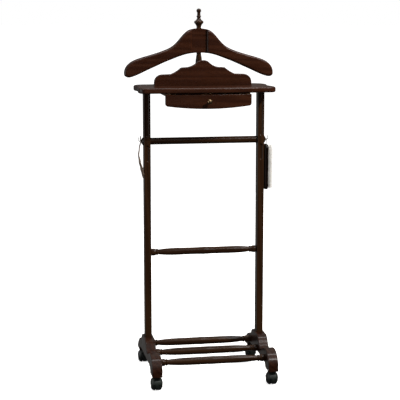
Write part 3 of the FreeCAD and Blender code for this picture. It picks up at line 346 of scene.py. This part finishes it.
def lacquered_wood(name, direction, stain, shift):
    """Dark-stained hardwood under lacquer, grain in one direction."""
    dark, pale = stain
    f = Finish(name, Coat_Weight=0.50, Coat_Roughness=0.16, Coat_IOR=1.45, Specular_IOR_Level=0.12)
    figure = f.use(
        "figure", Vector=f.where, Stretch=ALONG[direction], Shift=shift,
        Dark=dark, Pale=pale, Pore_Depth=0.55,
    )
    rub = f.use("rub", Vector=f.where, Radius=1.4 * MM, Amount=0.14)
    corner = f.use("corner", Reach=5 * MM, Amount=0.40)
    wear = f.use("wear", Vector=f.where, Low=0.30, High=0.48, Scale=24.0)
    colour = f.mix(rub.outputs["Mask"], figure.outputs["Color"], lighter(pale, 2.4))
    # painted shade: quirks and inside corners darkened almost to black
    colour = f.mix(corner.outputs["Mask"], colour, PAINTED_CORNER_SHADE)
    f.set(Base_Color=colour, Roughness=wear.outputs["Roughness"])
    sunk = f.math("MULTIPLY", figure.outputs["Pores"], 0.6)
    raised = f.math("SUBTRACT", figure.outputs["Figure"], sunk)
    f.bump(raised, 0.07, 0.25 * MM)
    return f.material


def plain_wood(name, direction, shift):
    """Unstained inside wood with a thin matt sealer."""
    f = Finish(name, Specular_IOR_Level=0.3)
    figure = f.use(
        "figure", Vector=f.where, Stretch=ALONG[direction], Shift=shift,
        Dark=(0.20, 0.105, 0.050), Pale=(0.42, 0.26, 0.14), Pore_Depth=0.6,
    )
    corner = f.use("corner", Reach=6 * MM, Amount=0.5)
    # painted shade: quirks and inside corners of the inside wood darkened
    colour = f.mix(corner.outputs["Mask"], figure.outputs["Color"], PAINTED_INSIDE_SHADE)
    wear = f.use("wear", Vector=f.where, Low=0.50, High=0.68, Scale=30.0)
    f.set(Base_Color=colour, Roughness=wear.outputs["Roughness"])
    f.bump(figure.outputs["Figure"], 0.4, 0.2 * MM)
    return f.material


def metal(name, colour, tarnish, low, high):
    """Plated or lacquered metal, dull in its corners."""
    f = Finish(name, Metallic=1.0)
    wear = f.use("wear", Vector=f.where, Low=low, High=high, Scale=120.0)
    corner = f.use("corner", Reach=2.5 * MM, Amount=0.85)
    rub = f.use("rub", Vector=f.where, Radius=0.5 * MM, Amount=0.6)
    body = f.mix(rub.outputs["Mask"], colour, lighter(colour, 1.3))
    f.set(Base_Color=f.mix(corner.outputs["Mask"], body, tarnish), Roughness=wear.outputs["Roughness"])
    f.bump(wear.outputs["Scratches"], 0.25, 0.03 * MM)
    return f.material


def horn_plastic():
    """Polished horn-coloured plastic with cloudy streaks down its length."""
    f = Finish("horn_plastic", Coat_Weight=0.5, Coat_Roughness=0.05)
    drawn = f.add("VectorMath", {"operation": "MULTIPLY"}, i0=f.where, i1=(1.0, 1.0, 0.18))
    clouds = f.add("TexNoise", Vector=drawn, Scale=95.0, Detail=5.0, Distortion=1.4)
    streak = f.ramp(clouds.outputs[0], 0.36, 0.66)
    colour = f.mix(streak, (0.135, 0.078, 0.050), (0.42, 0.31, 0.235))
    rub = f.use("rub", Vector=f.where, Radius=0.8 * MM, Amount=0.5)
    colour = f.mix(rub.outputs["Mask"], colour, (0.60, 0.49, 0.42))
    wear = f.use("wear", Vector=f.where, Low=0.14, High=0.30, Scale=60.0)
    f.set(Base_Color=colour, Roughness=wear.outputs["Roughness"])
    f.bump(wear.outputs["Scratches"], 0.2, 0.02 * MM)
    return f.material


def moulded_nylon(name, colour, low, high):
    """Black moulded plastic with a faint eroded texture and scuffed edges."""
    f = Finish(name, Specular_IOR_Level=0.45)
    grain = f.add("TexNoise", Vector=f.where, Scale=1800.0, Detail=2.0)
    wear = f.use("wear", Vector=f.where, Low=low, High=high, Scale=80.0)
    rub = f.use("rub", Vector=f.where, Radius=0.7 * MM, Amount=0.55)
    corner = f.use("corner", Reach=3 * MM, Amount=0.5)
    scuffed = f.mix(rub.outputs["Mask"], colour, lighter(colour, 3.2))
    # painted shade: the plastic darkened in its inside corners
    colour = f.mix(corner.outputs["Mask"], scuffed, lighter(colour, 0.4))
    f.set(Base_Color=colour, Roughness=wear.outputs["Roughness"])
    f.bump(grain.outputs[0], 0.35, 0.06 * MM)
    return f.material


def rolled_tread():
    """The wheel's running surface material: black nylon with pale floor dust where it rolls."""
    f = Finish("wheel_nylon", Specular_IOR_Level=0.4)
    dust = f.add("TexNoise", Vector=f.where, Scale=210.0, Detail=6.0)
    specks = f.ramp(dust.outputs[0], 0.50, 0.72)
    wear = f.use("wear", Vector=f.where, Low=0.42, High=0.62, Scale=70.0)
    rub = f.use("rub", Vector=f.where, Radius=0.9 * MM, Amount=0.7)
    colour = f.mix(f.math("MULTIPLY", specks, 0.22), (0.012, 0.014, 0.0125), (0.10, 0.10, 0.09))
    colour = f.mix(rub.outputs["Mask"], colour, (0.055, 0.060, 0.054))
    f.set(Base_Color=colour, Roughness=wear.outputs["Roughness"])
    f.bump(dust.outputs[0], 0.3, 0.08 * MM)
    return f.material


def bristle_hair():
    """Pale bristle, a little darker towards its root and from hair to hair."""
    f = Finish("bristle_hair", Specular_IOR_Level=0.4, Sheen_Weight=0.2)
    shade = f.add("TexNoise", Vector=f.where, Scale=700.0, Detail=1.0)
    colour = f.mix(f.ramp(shade.outputs[0], 0.3, 0.7), (0.86, 0.84, 0.80), (0.97, 0.96, 0.94))
    corner = f.use("corner", Reach=2.5 * MM, Amount=0.20)
    wear = f.use("wear", Vector=f.where, Low=0.35, High=0.55, Scale=300.0)
    # painted shade between the hairs, deepest towards their roots
    colour = f.mix(corner.outputs["Mask"], colour, ROOT_SHADE)
    f.set(Base_Color=colour, Roughness=wear.outputs["Roughness"])
    return f.material


# each stain's dark and pale tone
RED_STAIN = (0.0230, 0.0064, 0.0027), (0.039, 0.0122, 0.0053)
BROWN_STAIN = (0.0195, 0.0076, 0.0027), (0.035, 0.0145, 0.0054)
# The feet's stain is the board stain made about a third darker: painted shade, since the feet stand low
# and far from the lamps.
SHADED_FOOT_STAIN = (0.0160, 0.0046, 0.0020), (0.029, 0.0092, 0.0041)
EBONY_STAIN = (0.0030, 0.0012, 0.0008), (0.0070, 0.0026, 0.0018)


# ---------------------------------------------------------------- finishes on the frame's own pieces
def wear_finish(material, *names):
    """Puts a finish on the frame's own solids."""
    for name in names:
        obj = NODES[name]
        obj.data.materials.clear()
        obj.data.materials.append(material)


def finish_wood():
    """Stained wood outside, with the grain along each piece, and plain wood in and under the drawer."""
    upright = lacquered_wood("stained_upright", "z", BROWN_STAIN, (0.31, 0.12, 0.05))
    across = lacquered_wood("stained_across", "x", BROWN_STAIN, (0.02, 0.27, 0.41))
    board = lacquered_wood("stained_board", "x", RED_STAIN, (0.13, 0.05, 0.22))
    # painted shade: the feet get a darker copy of the board stain
    deep = lacquered_wood("shaded_foot_stain", "y", SHADED_FOOT_STAIN, (0.07, 0.33, 0.09))
    wear_finish(upright, "left_post", "right_post", "hanger_spindle", "finial")
    wear_finish(
        across, "base_rail_front", "base_rail_middle", "base_rail_rear", "mid_rail", "trouser_bar",
        "bar_knob_left", "bar_knob_right",
    )
    wear_finish(
        board, "shelf", "crest_board", "drawer_front",
        "hanger_hub", "hanger_arm_left", "hanger_arm_right",
    )
    wear_finish(deep, "left_foot", "right_foot")
    inside_long = plain_wood("inside_along", "y", (0.4, 0.1, 0.2))
    inside_wide = plain_wood("inside_across", "x", (0.1, 0.3, 0.6))
    inside_tall = plain_wood("inside_upright", "z", (0.2, 0.6, 0.3))
    wear_finish(
        inside_long, "drawer_runner_left", "drawer_runner_right",
        "drawer_side_left", "drawer_side_right", "drawer_guide_left", "drawer_guide_right",
    )
    wear_finish(inside_wide, "drawer_back", "drawer_bottom", "drawer_stop")
    wear_finish(inside_tall, "shelf_dowels")


# ---------------------------------------------------------------- mesh helpers
def outward(bm):
    """Turns all faces of a closed mesh outwards."""
    bmesh.ops.recalc_face_normals(bm, faces=bm.faces)
    return bm


def piece(name, bm, material, body, replaces, smooth=True):
    """Visible piece that stands in for a node of the frame and rides on its body."""
    obj = mesh_object(name, outward(bm))
    for polygon in obj.data.polygons:
        polygon.use_smooth = smooth
    obj.data.materials.append(material)
    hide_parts(*replaces)
    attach(obj, body)
    return obj


def cutter(bm):
    """Helper object that combine() adds, cuts or joins with, and removes again."""
    return mesh_object("cutter", outward(bm))


def sharpen(obj, degrees):
    """Keeps edges steeper than this angle crisp under smooth shading."""
    mesh = obj.data
    limit = math.radians(degrees)
    bm = bmesh.new()
    bm.from_mesh(mesh)
    for edge in bm.edges:
        edge.smooth = not (len(edge.link_faces) == 2 and edge.calc_face_angle(0) > limit)
    bm.to_mesh(mesh)
    bm.free()


def add_rings(bm, rings, endless=False):
    """Skin over closed rings of equal length, capped, or endless from the last ring to the first."""
    rows = [[bm.verts.new(p) for p in ring] for ring in rings]
    count = len(rows[0])
    for low, high in zip(rows, rows[1:] + rows[:1] if endless else rows[1:]):
        for i in range(count):
            j = (i + 1) % count
            bm.faces.new((low[i], low[j], high[j], high[i]))
    if not endless:
        bm.faces.new(list(reversed(rows[0])))
        bm.faces.new(rows[-1])


def frame_of(axis):
    """An axis as a unit vector, with two more square to it and to each other."""
    axis = Vector(axis).normalized()
    side = axis.orthogonal().normalized()
    return axis, side, axis.cross(side)


def turned_rings(origin, axis, profile, segments):
    """Rings of points about an axis, from (distance along the axis, radius) pairs."""
    axis, u, v = frame_of(axis)
    origin = Vector(origin)
    angles = [math.tau * i / segments for i in range(segments)]
    spokes = [u * math.cos(angle) + v * math.sin(angle) for angle in angles]
    return [[origin + axis * along + spoke * radius for spoke in spokes] for along, radius in profile]


def add_turned(bm, origin, axis, profile, segments):
    """Solid turned shape with capped ends."""
    add_rings(bm, turned_rings(origin, axis, profile, segments))


def turned(origin, axis, profile, segments):
    """Solid turned shape in a mesh of its own."""
    bm = bmesh.new()
    add_turned(bm, origin, axis, profile, segments)
    return bm


def rod(start, axis, length, radius, segments):
    """Straight bar, round or with a few flat sides."""
    return turned(start, axis, [(0, radius), (length, radius)], segments)


def combine(target, helpers, operation):
    """Boolean of one piece with helper meshes."""
    others = [cutter(bm) for bm in helpers]
    for other in others:
        modifier = target.modifiers.new("join", "BOOLEAN")
        modifier.operation = operation
        modifier.solver = "EXACT"
        modifier.object = other
    settle(target)
    for other in others:
        bpy.data.objects.remove(other)


def settle(obj):
    """Turns an object's modifiers into its mesh."""
    deps = bpy.context.evaluated_depsgraph_get()
    deps.update()
    mesh = bpy.data.meshes.new_from_object(obj.evaluated_get(deps))
    obj.modifiers.clear()
    obj.data = mesh


def between(value, stations):
    """Smooth value along (place, value) stations."""
    for (a, left), (b, right) in zip(stations, stations[1:]):
        if value <= b:
            t = (value - a) / (b - a)
            return left + (right - left) * t * t * (3 - 2 * t)
    return stations[-1][1]


# ---------------------------------------------------------------- shoehorn
# (part of the length from the top, millimetres)
HORN_BEND = [
    (0.0, 0.0), (0.14, 0.2), (0.30, 5.0), (0.44, 7.8), (0.60, 5.8), (0.78, 1.0), (0.90, -3.2),
    (1.0, -6.4),
]
HORN_WIDTH = [
    (0.0, 15.0), (0.10, 17.0), (0.30, 15.6), (0.42, 17.6), (0.62, 29.0), (0.80, 35.6), (1.0, 33.0),
]
HORN_HOLLOW = [(0.0, 0.0), (0.2, 0.1), (0.42, 1.8), (0.60, 4.2), (0.78, 6.2), (0.92, 4.4), (1.0, 1.4)]
HORN_THICK, HORN_FROM_KNOB, HORN_HOLE = 2.0 * MM, 1.2 * MM, 1.5 * MM
TOP_ROUND, LIP_ROUND = 0.055, 0.11       # parts of the length that round off


def shoehorn():
    """Bent horn with a straight handle, a hollow scoop and a rounded lip."""
    low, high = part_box("shoehorn")
    knob_low, knob_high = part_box("bar_knob_left")
    hang_z = (knob_low.z + knob_high.z) / 2
    middle_y = (low.y + high.y) / 2
    handle_x = knob_low.x - HORN_FROM_KNOB
    steps, across = 60, 14
    rings = []
    for i in range(steps + 1):
        t = 0.5 - 0.5 * math.cos(math.pi * i / steps)
        z = high.z - (high.z - low.z) * t
        half = between(t, HORN_WIDTH) / 2 * MM
        to_end, reach = (t, TOP_ROUND) if t < 0.5 else (1 - t, LIP_ROUND)
        if to_end < reach:
            half *= math.sqrt(max(0.02, 1 - (1 - to_end / reach) ** 2))
        offset = handle_x - between(t, HORN_BEND) * MM
        sag = between(t, HORN_HOLLOW) * MM
        outer, inner = [], []
        for k in range(across + 1):
            s = 2 * k / across - 1
            x = offset + sag * s * s
            edge = HORN_THICK * (0.28 if k in (0, across) else 0.5)
            outer.append(Vector((x - edge, middle_y + half * s, z)))
            inner.append(Vector((x + edge, middle_y + half * s, z)))
        rings.append(outer + list(reversed(inner)))
    bm = bmesh.new()
    add_rings(bm, rings)
    obj = piece("shoehorn_blade", bm, horn_plastic(), "shoehorn", ["shoehorn"])
    start = (handle_x - 6 * MM, middle_y, hang_z)
    combine(obj, [rod(start, X, 12 * MM, HORN_HOLE, 32)], "DIFFERENCE")
    sharpen(obj, 50)


# ---------------------------------------------------------------- clothes brush
BOARD_CORNER, BOARD_WAIST, EYE_HOLE = 14 * MM, 1.6 * MM, 0.8 * MM
CROWN_START, CROWN_SIDE = 4.2 * MM, 3.4      # height in metres, side rounding in millimetres
HAIR_RADIUS, HAIRS_IN_TUFT = 0.21 * MM, 10
TUFT_RADIUS, TUFT_PITCH_Y, TUFT_PITCH_Z, TUFT_MARGIN = 0.9 * MM, 4.7 * MM, 4.6 * MM, 1.5 * MM


def board_outline(half_y, half_z, inset, x, centre, steps=10):
    """Rounded rectangle in the YZ plane whose long sides draw in a little at the waist."""
    points = []
    hy, hz, r = half_y - inset, half_z - inset, max(BOARD_CORNER - inset, 0.5 * MM)
    for quarter, (sy, sz) in enumerate(((1, 1), (-1, 1), (-1, -1), (1, -1))):
        for i in range(steps + 1):
            a = math.pi / 2 * (quarter + i / steps)
            points.append((sy * (hy - r) + r * math.cos(a), sz * (hz - r) + r * math.sin(a)))
    full = []
    for (y0, z0), (y1, z1) in zip(points, points[1:] + points[:1]):
        full.append((y0, z0))
        if abs(z1 - z0) > 20 * MM:
            full.extend([(y0, z0 + (z1 - z0) * k / 6) for k in range(1, 6)])
        if abs(y1 - y0) > 8 * MM:
            full.extend([(y0 + (y1 - y0) * k / 3, z0) for k in range(1, 3)])
    draw = BOARD_WAIST / half_y
    return [
        Vector((x, centre.y + y * (1 - draw * (1 - (z / half_z) ** 2)), centre.z + z)) for y, z in full
    ]


def brush_board(material):
    """Lacquered brush back: flat where the tufts are set, crowned and rounded behind."""
    low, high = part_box("brush_body")
    centre = (low + high) / 2
    half_y, half_z = (high.y - low.y) / 2, (high.z - low.z) / 2
    thick = high.x - low.x
    # (height above the back, inset in millimetres)
    levels = [(thick, 1.0), (thick - 0.4 * MM, 0.35), (thick - 1.0 * MM, 0.0), (CROWN_START, 0.0)]
    levels += [
        (CROWN_START - CROWN_SIDE * MM * math.sin(a), CROWN_SIDE * (1 - math.cos(a)))
        for a in (math.radians(d) for d in (15, 30, 45, 60, 75))
    ]
    levels += [(0.55 * MM, 4.6), (0.30 * MM, 7.5), (0.10 * MM, 11.5), (0.0, 16.0)]
    rings = [board_outline(half_y, half_z, inset * MM, low.x + up, centre) for up, inset in levels]
    bm = bmesh.new()
    add_rings(bm, rings)
    obj = piece("brush_board", bm, material, "brush", ["brush_body"])
    sharpen(obj, 40)
    eye_low, eye_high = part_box("brush_eye")
    start = (centre.x, (eye_low.y + eye_high.y) / 2, high.z + 2 * MM)
    combine(obj, [rod(start, -Z, 13 * MM, EYE_HOLE, 24)], "DIFFERENCE")
    sharpen(obj, 40)


def brush_tufts():
    """Tufts of bristle in staggered rows, each a small sheaf that opens outwards."""
    low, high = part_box("brush_bristles")
    rng = random.Random(11)
    bm = bmesh.new()
    rows = int((high.z - low.z - 4 * MM) / TUFT_PITCH_Z)
    middle = (low + high) / 2
    half_y, half_z = (high.y - low.y) / 2 - TUFT_MARGIN, (high.z - low.z) / 2 - TUFT_MARGIN
    corner, allowed = 8 * MM, 8.2 * MM
    for row in range(rows + 1):
        z = (row - rows / 2) * TUFT_PITCH_Z
        for column in range(-4, 5):
            y = (column + (0.5 if row % 2 else 0.0)) * TUFT_PITCH_Y
            past = max(0.0, abs(y) - half_y + corner), max(0.0, abs(z) - half_z + corner)
            if abs(y) > half_y or math.hypot(*past) > allowed:
                continue
            foot = Vector((low.x - 0.6 * MM, middle.y + y, middle.z + z))
            lean = Vector((1, 0.16 * y / half_y, 0.10 * (z / half_z) ** 3))
            add_tuft(bm, rng, foot, lean, high.x - low.x + 0.4 * MM)
    piece("brush_tufts", bm, bristle_hair(), "brush", ["brush_bristles"], smooth=False)


def add_tuft(bm, rng, foot, lean, length):
    """One sheaf of bristles, wound outwards from its middle."""
    for hair in range(HAIRS_IN_TUFT):
        angle = hair * 2.4 + rng.uniform(-0.3, 0.3)
        away = Vector((0, math.cos(angle), math.sin(angle)))
        root = foot + away * TUFT_RADIUS * math.sqrt((hair + 0.5) / HAIRS_IN_TUFT)
        way = (lean + away * rng.uniform(0.02, 0.13)).normalized()
        add_hair(bm, root, way, length * rng.uniform(0.93, 0.995) / max(way.x, 0.9), HAIR_RADIUS)


def add_hair(bm, root, way, reach, radius):
    """One tapered four-sided bristle with a slight curl at its tip."""
    axis, u, v = frame_of(way)
    rings = []
    for part, size, curl in ((0.0, 1.0, 0.0), (0.6, 0.95, 0.0), (1.0, 0.45, 0.035)):
        centre = root + axis * reach * part + u * reach * curl
        rings.append([centre + side * radius * size for side in (u, v, -u, -v)])
    add_rings(bm, rings)


# ---------------------------------------------------------------- casters
TRAIL = 11 * MM              # from the stem back to the axle
HALF_WEB, WEB_BEVEL = 4 * MM, 0.7 * MM
WEB_START, WEB_TURN, WEB_STEPS = -42, 264, 44    # degrees, and steps round the web
HOOD_GAP, HOOD_THICK = 1.2 * MM, 2.0 * MM
HOOD_START, HOOD_STEPS = math.radians(9), 40
SHOULDER_WIDTH, SHOULDER_DROP = 10.5 * MM, 7.6 * MM
STEM_RADIUS, AXLE_BORE = 4 * MM, 2.56 * MM


def shoulder_drop(x, half):
    """How far a caster's outline has fallen away at this distance from its middle."""
    past = max(0.0, abs(x) - (half - SHOULDER_WIDTH)) / SHOULDER_WIDTH
    return SHOULDER_DROP * past ** 2.4


def hood_section(inner, half, steps=18):
    """Closed (radius, x) loop across the hood: over its outside, then back along its inside."""
    ends = half - 0.4 * MM
    xs = [ends * (2 * i / steps - 1) for i in range(steps + 1)]
    outside = [(inner + HOOD_THICK - shoulder_drop(x, half), x) for x in xs]
    inside = [(inner - shoulder_drop(x, half), x) for x in xs]
    lip = shoulder_drop(half, half)
    rim = [(inner + HOOD_THICK - lip - 0.5 * MM, half), (inner - lip + 0.4 * MM, half)]
    return outside + rim + inside[::-1] + [(r, -x) for r, x in reversed(rim)]


def hood_shell(axle, inner, half):
    """Half round of the hood's section over the wheels, slimmer at its two ends."""
    middle = inner + HOOD_THICK / 2
    rings = []
    for i in range(HOOD_STEPS + 1):
        a = HOOD_START + (math.pi - 2 * HOOD_START) * i / HOOD_STEPS
        way = Y * math.cos(a) + Z * math.sin(a)
        slim = 0.7 if i in (0, HOOD_STEPS) else 1.0
        ring = []
        for r, x in hood_section(inner, half):
            core = middle - shoulder_drop(x, half)
            ring.append(axle + X * x + way * (core + (r - core) * slim))
        rings.append(ring)
    bm = bmesh.new()
    add_rings(bm, rings)
    return bm


def hood_web(axle, outer):
    """Flat web between the wheels, reaching lower than the hood at both ends."""
    outline = []
    for i in range(WEB_STEPS + 1):
        a = math.radians(WEB_START + WEB_TURN * i / WEB_STEPS)
        outline.append(Vector((0, math.cos(a), math.sin(a))) * (outer - 0.4 * MM))
    face = HALF_WEB - WEB_BEVEL
    sides = ((-HALF_WEB, WEB_BEVEL), (-face, 0), (face, 0), (HALF_WEB, WEB_BEVEL))
    bm = bmesh.new()
    add_rings(bm, [[axle + X * x + p * (1 - inset / outer) for p in outline] for x, inset in sides])
    return bm


def hood_neck(axle, stem_y, base, top):
    """Round boss on the hood that rounds in under the sleeve."""
    tall = top - base
    return turned((axle.x, stem_y, base), Z, [
        (0, 11.0 * MM), (tall - 3.6 * MM, 10.6 * MM), (tall - 2.6 * MM, 9.4 * MM),
        (tall - 1.6 * MM, 8.3 * MM), (tall - 0.4 * MM, 8.0 * MM), (tall, 7.6 * MM),
    ], 40)


def hood_stem(axle, stem_y, base, tip):
    """Stem into the sleeve, with a bevelled tip."""
    tall = tip - base
    profile = [(0, STEM_RADIUS), (tall - 1.2 * MM, STEM_RADIUS), (tall, 3.0 * MM)]
    return turned((axle.x, stem_y, base), Z, profile, 32)


def wheel_room(axle, way, inner, half, steps=12):
    """Space for one wheel, shaped like the inside of the hood."""
    start, loose = HALF_WEB + 0.02 * MM, 0.03 * MM
    xs = [start + (half - start) * i / steps for i in range(steps + 1)]
    profile = [(x - start, inner - loose - shoulder_drop(x, half)) for x in xs]
    profile.append((half + 2 * MM - start, profile[-1][1]))
    return turned(axle + X * way * start, X * way, profile, 64)


def caster_hood(place, material):
    """Moulded hood over the two wheels, with the web between them and the neck of the stem."""
    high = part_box("caster_hood_" + place)[1]
    wheel_low, wheel_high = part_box("caster_wheels_" + place)
    axle = (wheel_low + wheel_high) / 2
    stem_y = axle.y - math.copysign(TRAIL, axle.y)
    radius, half = (wheel_high.z - wheel_low.z) / 2, (wheel_high.x - wheel_low.x) / 2
    inner = radius + HOOD_GAP
    shell = hood_shell(axle, inner, half)
    obj = piece(
        "hood_" + place, shell, material, "caster_" + place, ["caster_hood_" + place]
    )
    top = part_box("caster_sockets")[0].z - 0.4 * MM
    web = hood_web(axle, inner + HOOD_THICK)
    neck = hood_neck(axle, stem_y, axle.z + radius - 3 * MM, top)
    stem = hood_stem(axle, stem_y, top - 2 * MM, high.z)
    combine(obj, [web, neck, stem], "UNION")
    rooms = [wheel_room(axle, way, inner, half) for way in (-1, 1)]
    bore = rod(axle - X * 30 * MM, X, 60 * MM, AXLE_BORE, 40)
    combine(obj, [*rooms, bore], "DIFFERENCE")
    sharpen(obj, 38)


# one wheel in millimetres, from its inner face outwards: (along the axle, radius)
WHEEL_TREAD = [
    (0, 16.6), (0.3, 17.9), (1.0, 18.8), (1.8, 19.0), (3.9, 19.0), (4.2, 18.55), (4.5, 19.0),
    (5.6, 19.0), (6.8, 19.0), (8.0, 19.0), (8.3, 18.6), (8.6, 19.0), (9.6, 19.0), (10.6, 19.0),
    (11.5, 19.0), (12.3, 19.0),
]
WHEEL_FACE = [
    (12.8, 11.7), (13.0, 11.2), (12.9, 10.8), (12.2, 10.5), (11.4, 10.2), (11.0, 9.6), (11.0, 7.4),
    (11.5, 6.6), (12.5, 6.2), (12.9, 5.4), (13.0, 4.4), (12.8, 3.4), (12.4, 2.5),
]
WHEEL_START = 4.4 * MM       # from the middle of the caster to the wheel's inner face
DISH, RIB_FOOT, RIBS = 11.0, 10.6, 6
# radius, rise above the dish and half the width of a rib
RIB_STATIONS = ((6.9, 0.9, 1.2), (7.6, 0.75, 1.05), (9.0, 0.75, 1.0), (10.0, 1.2, 1.1))


def caster_wheels(place, material):
    """Pair of wheels with grooved treads, dished faces, ribs and hub caps."""
    low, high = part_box("caster_wheels_" + place)
    axle = (low + high) / 2
    half = (high.x - low.x) / 2
    tread = [(a * MM, r * MM - shoulder_drop(WHEEL_START + a * MM, half)) for a, r in WHEEL_TREAD]
    profile = [(0, 2.5 * MM)] + tread + [(a * MM, r * MM) for a, r in WHEEL_FACE]
    bm = bmesh.new()
    for way in (-1, 1):
        origin = axle + X * way * WHEEL_START
        add_rings(bm, turned_rings(origin, X * way, profile, 72), endless=True)
        for rib in range(RIBS):
            add_rib(bm, origin, X * way, math.tau * rib / RIBS)
    obj = piece(
        "wheels_" + place, bm, material, "wheels_" + place, ["caster_wheels_" + place]
    )
    sharpen(obj, 30)


def add_rib(bm, origin, axis, angle):
    """Raised rib across the dish of a wheel, rooted in the dish and narrower at its top."""
    axis, u, v = frame_of(axis)
    out = u * math.cos(angle) + v * math.sin(angle)
    side = -u * math.sin(angle) + v * math.cos(angle)
    rings = []
    for r, up, wide in RIB_STATIONS:
        top, slim = DISH + up, wide * 0.7
        corners = ((wide, RIB_FOOT), (slim, top), (-slim, top), (-wide, RIB_FOOT))
        middle = origin + out * r * MM
        rings.append([middle + (side * across + axis * along) * MM for across, along in corners])
    add_rings(bm, rings)


# ---------------------------------------------------------------- screws
SHANK, SHANK_LENGTH, SCREW_PITCH, SCREW_VALLEY = 2 * MM, 12 * MM, 1.6 * MM, (0.3125, 0.6875)
RUNNER_HEAD = 4 * MM
BOLT, BOLT_ROOT, BOLT_PITCH = 3 * MM, 2.6 * MM, 1.0 * MM
PULL_BOLT, PULL_ROOT, PULL_PITCH = 2 * MM, 1.65 * MM, 0.7 * MM


def add_thread(profile, start, end, pitch, root, valley=(0.5,)):
    """Adds ridges to a turned profile. The valley lies at these parts of each pitch."""
    crest, place = profile[-1][1], start
    profile.append((place, crest))
    while place < end:
        profile += [(place + pitch * part, root) for part in valley]
        place += pitch
        profile.append((place, crest))


def add_screw(bm, head, axis, length, head_r):
    """Countersunk wood screw: head, plain shank, thread rings and a point."""
    under_head = 0.8 * MM + head_r - SHANK
    profile = [(0, head_r * 0.92), (0.25 * MM, head_r), (0.8 * MM, head_r), (under_head, SHANK)]
    start = max(SHANK_LENGTH, under_head + 0.5 * MM)
    add_thread(profile, start, length - 4 * MM, SCREW_PITCH, SHANK * 0.72, SCREW_VALLEY)
    profile += [(length - 0.6 * MM, SHANK * 0.4), (length, 0.15 * MM)]
    add_turned(bm, head, axis, profile, 28)


def cross_slots(heads, axis, head_r):
    """Two crossing slots for the recess in each screw head, narrower at the bottom."""
    found = []
    axis, u, v = frame_of(axis)
    for head in heads:
        for along, side in ((u, v), (v, u)):
            rings = []
            for depth, long, wide in ((-0.5 * MM, 0.62, 0.17), (1.5 * MM, 0.30, 0.12)):
                centre = Vector(head) + axis * depth
                rings.append([
                    centre + along * head_r * long * a + side * head_r * wide * b
                    for a, b in ((1, 1), (-1, 1), (-1, -1), (1, -1))
                ])
            bm = bmesh.new()
            add_rings(bm, rings)
            found.append(bm)
    return found


def screw_set(name, node, heads, length, head_r, steel):
    """Wood screws that point upwards from these heads."""
    bm = bmesh.new()
    for head in heads:
        add_screw(bm, head, Z, length, head_r)
    obj = piece(name, bm, steel, "frame", [node])
    combine(obj, cross_slots(heads, Z, head_r), "DIFFERENCE")
    sharpen(obj, 30)


def crest_screws(steel):
    """Three screws up through the shelf into the crest board."""
    low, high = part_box("crest_screws")
    y, r = (low.y + high.y) / 2, (high.y - low.y) / 2
    heads = [(x, y, low.z) for x in (low.x + r, 0.0, high.x - r)]
    screw_set("crest_screw_set", "crest_screws", heads, high.z - low.z, r, steel)


def runner_screws(steel):
    """Three screws up through each drawer runner into the shelf."""
    low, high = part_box("runner_screws")
    r = RUNNER_HEAD
    ys = (low.y + r, (low.y + high.y) / 2, high.y - r)
    heads = [(x, y, low.z) for x in (low.x + r, high.x - r) for y in ys]
    screw_set("runner_screw_set", "runner_screws", heads, high.z - low.z, r, steel)


def foot_bolts(steel):
    """Socket-head bolts up into the posts."""
    low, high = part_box("foot_bolts")
    y, r, length = (low.y + high.y) / 2, (high.y - low.y) / 2, high.z - low.z
    bm = bmesh.new()
    sockets = []
    for x in (low.x + r, high.x - r):
        profile = [(0, r - 0.6 * MM), (0.15 * MM, r - 0.2 * MM), (0.6 * MM, r), (4 * MM, r)]
        profile.append((4 * MM, BOLT))
        add_thread(profile, 22 * MM, length - 3 * MM, BOLT_PITCH, BOLT_ROOT)
        profile += [(length - 0.6 * MM, 2.9 * MM), (length, 2.3 * MM)]
        add_turned(bm, (x, y, low.z), Z, profile, 36)
        sockets.append(rod((x, y, low.z - MM), Z, 3.4 * MM, 2.9 * MM, 6))
    obj = piece("foot_bolt_set", bm, steel, "frame", ["foot_bolts"])
    combine(obj, sockets, "DIFFERENCE")
    sharpen(obj, 30)


def pull_screw(steel):
    """Machine screw from inside the drawer into the pull."""
    low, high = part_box("pull_screw")
    centre = (low + high) / 2
    r, length = (high.x - low.x) / 2, high.y - low.y
    head = (centre.x, high.y, centre.z)
    profile = [(0, r * 0.55), (0.35 * MM, r * 0.85), (1.0 * MM, r), (2.2 * MM, r), (2.2 * MM, PULL_BOLT)]
    add_thread(profile, 14 * MM, length - MM, PULL_PITCH, PULL_ROOT)
    profile.append((length, 1.6 * MM))
    bm = turned(head, -Y, profile, 32)
    obj = piece("pull_screw_set", bm, steel, "drawer", ["pull_screw"])
    combine(obj, cross_slots([head], -Y, r), "DIFFERENCE")
    sharpen(obj, 30)


# ---------------------------------------------------------------- everything
def main():
    """Studio first, then finishes on the frame's solids, then the pieces modelled here."""
    camera()
    studio()
    finish_wood()
    steel = metal("zinc_steel", (0.55, 0.55, 0.56), (0.16, 0.15, 0.14), 0.24, 0.42)
    bright = metal("nickel_wire", (0.80, 0.78, 0.74), (0.30, 0.27, 0.22), 0.10, 0.26)
    brass = metal("aged_brass", (0.30, 0.20, 0.11), (0.03, 0.018, 0.010), 0.24, 0.40)
    nylon = moulded_nylon("hood_nylon", (0.015, 0.0185, 0.0160), 0.34, 0.52)
    sleeve = moulded_nylon("sleeve_nylon", (0.012, 0.013, 0.012), 0.40, 0.60)
    tread = rolled_tread()
    brush_wood = lacquered_wood("brush_wood", "z", EBONY_STAIN, (0.5, 0.2, 0.1))
    wear_finish(bright, "hook_left", "hook_right", "brush_eye")
    wear_finish(brass, "drawer_pull")
    wear_finish(steel, "finial_rod", *["caster_axle_" + place for place in PLACES])
    wear_finish(sleeve, "caster_sockets")
    shoehorn()
    brush_board(brush_wood)
    brush_tufts()
    for place in PLACES:
        caster_hood(place, nylon)
        caster_wheels(place, tread)
    crest_screws(steel)
    runner_screws(steel)
    foot_bolts(steel)
    pull_screw(steel)


main()
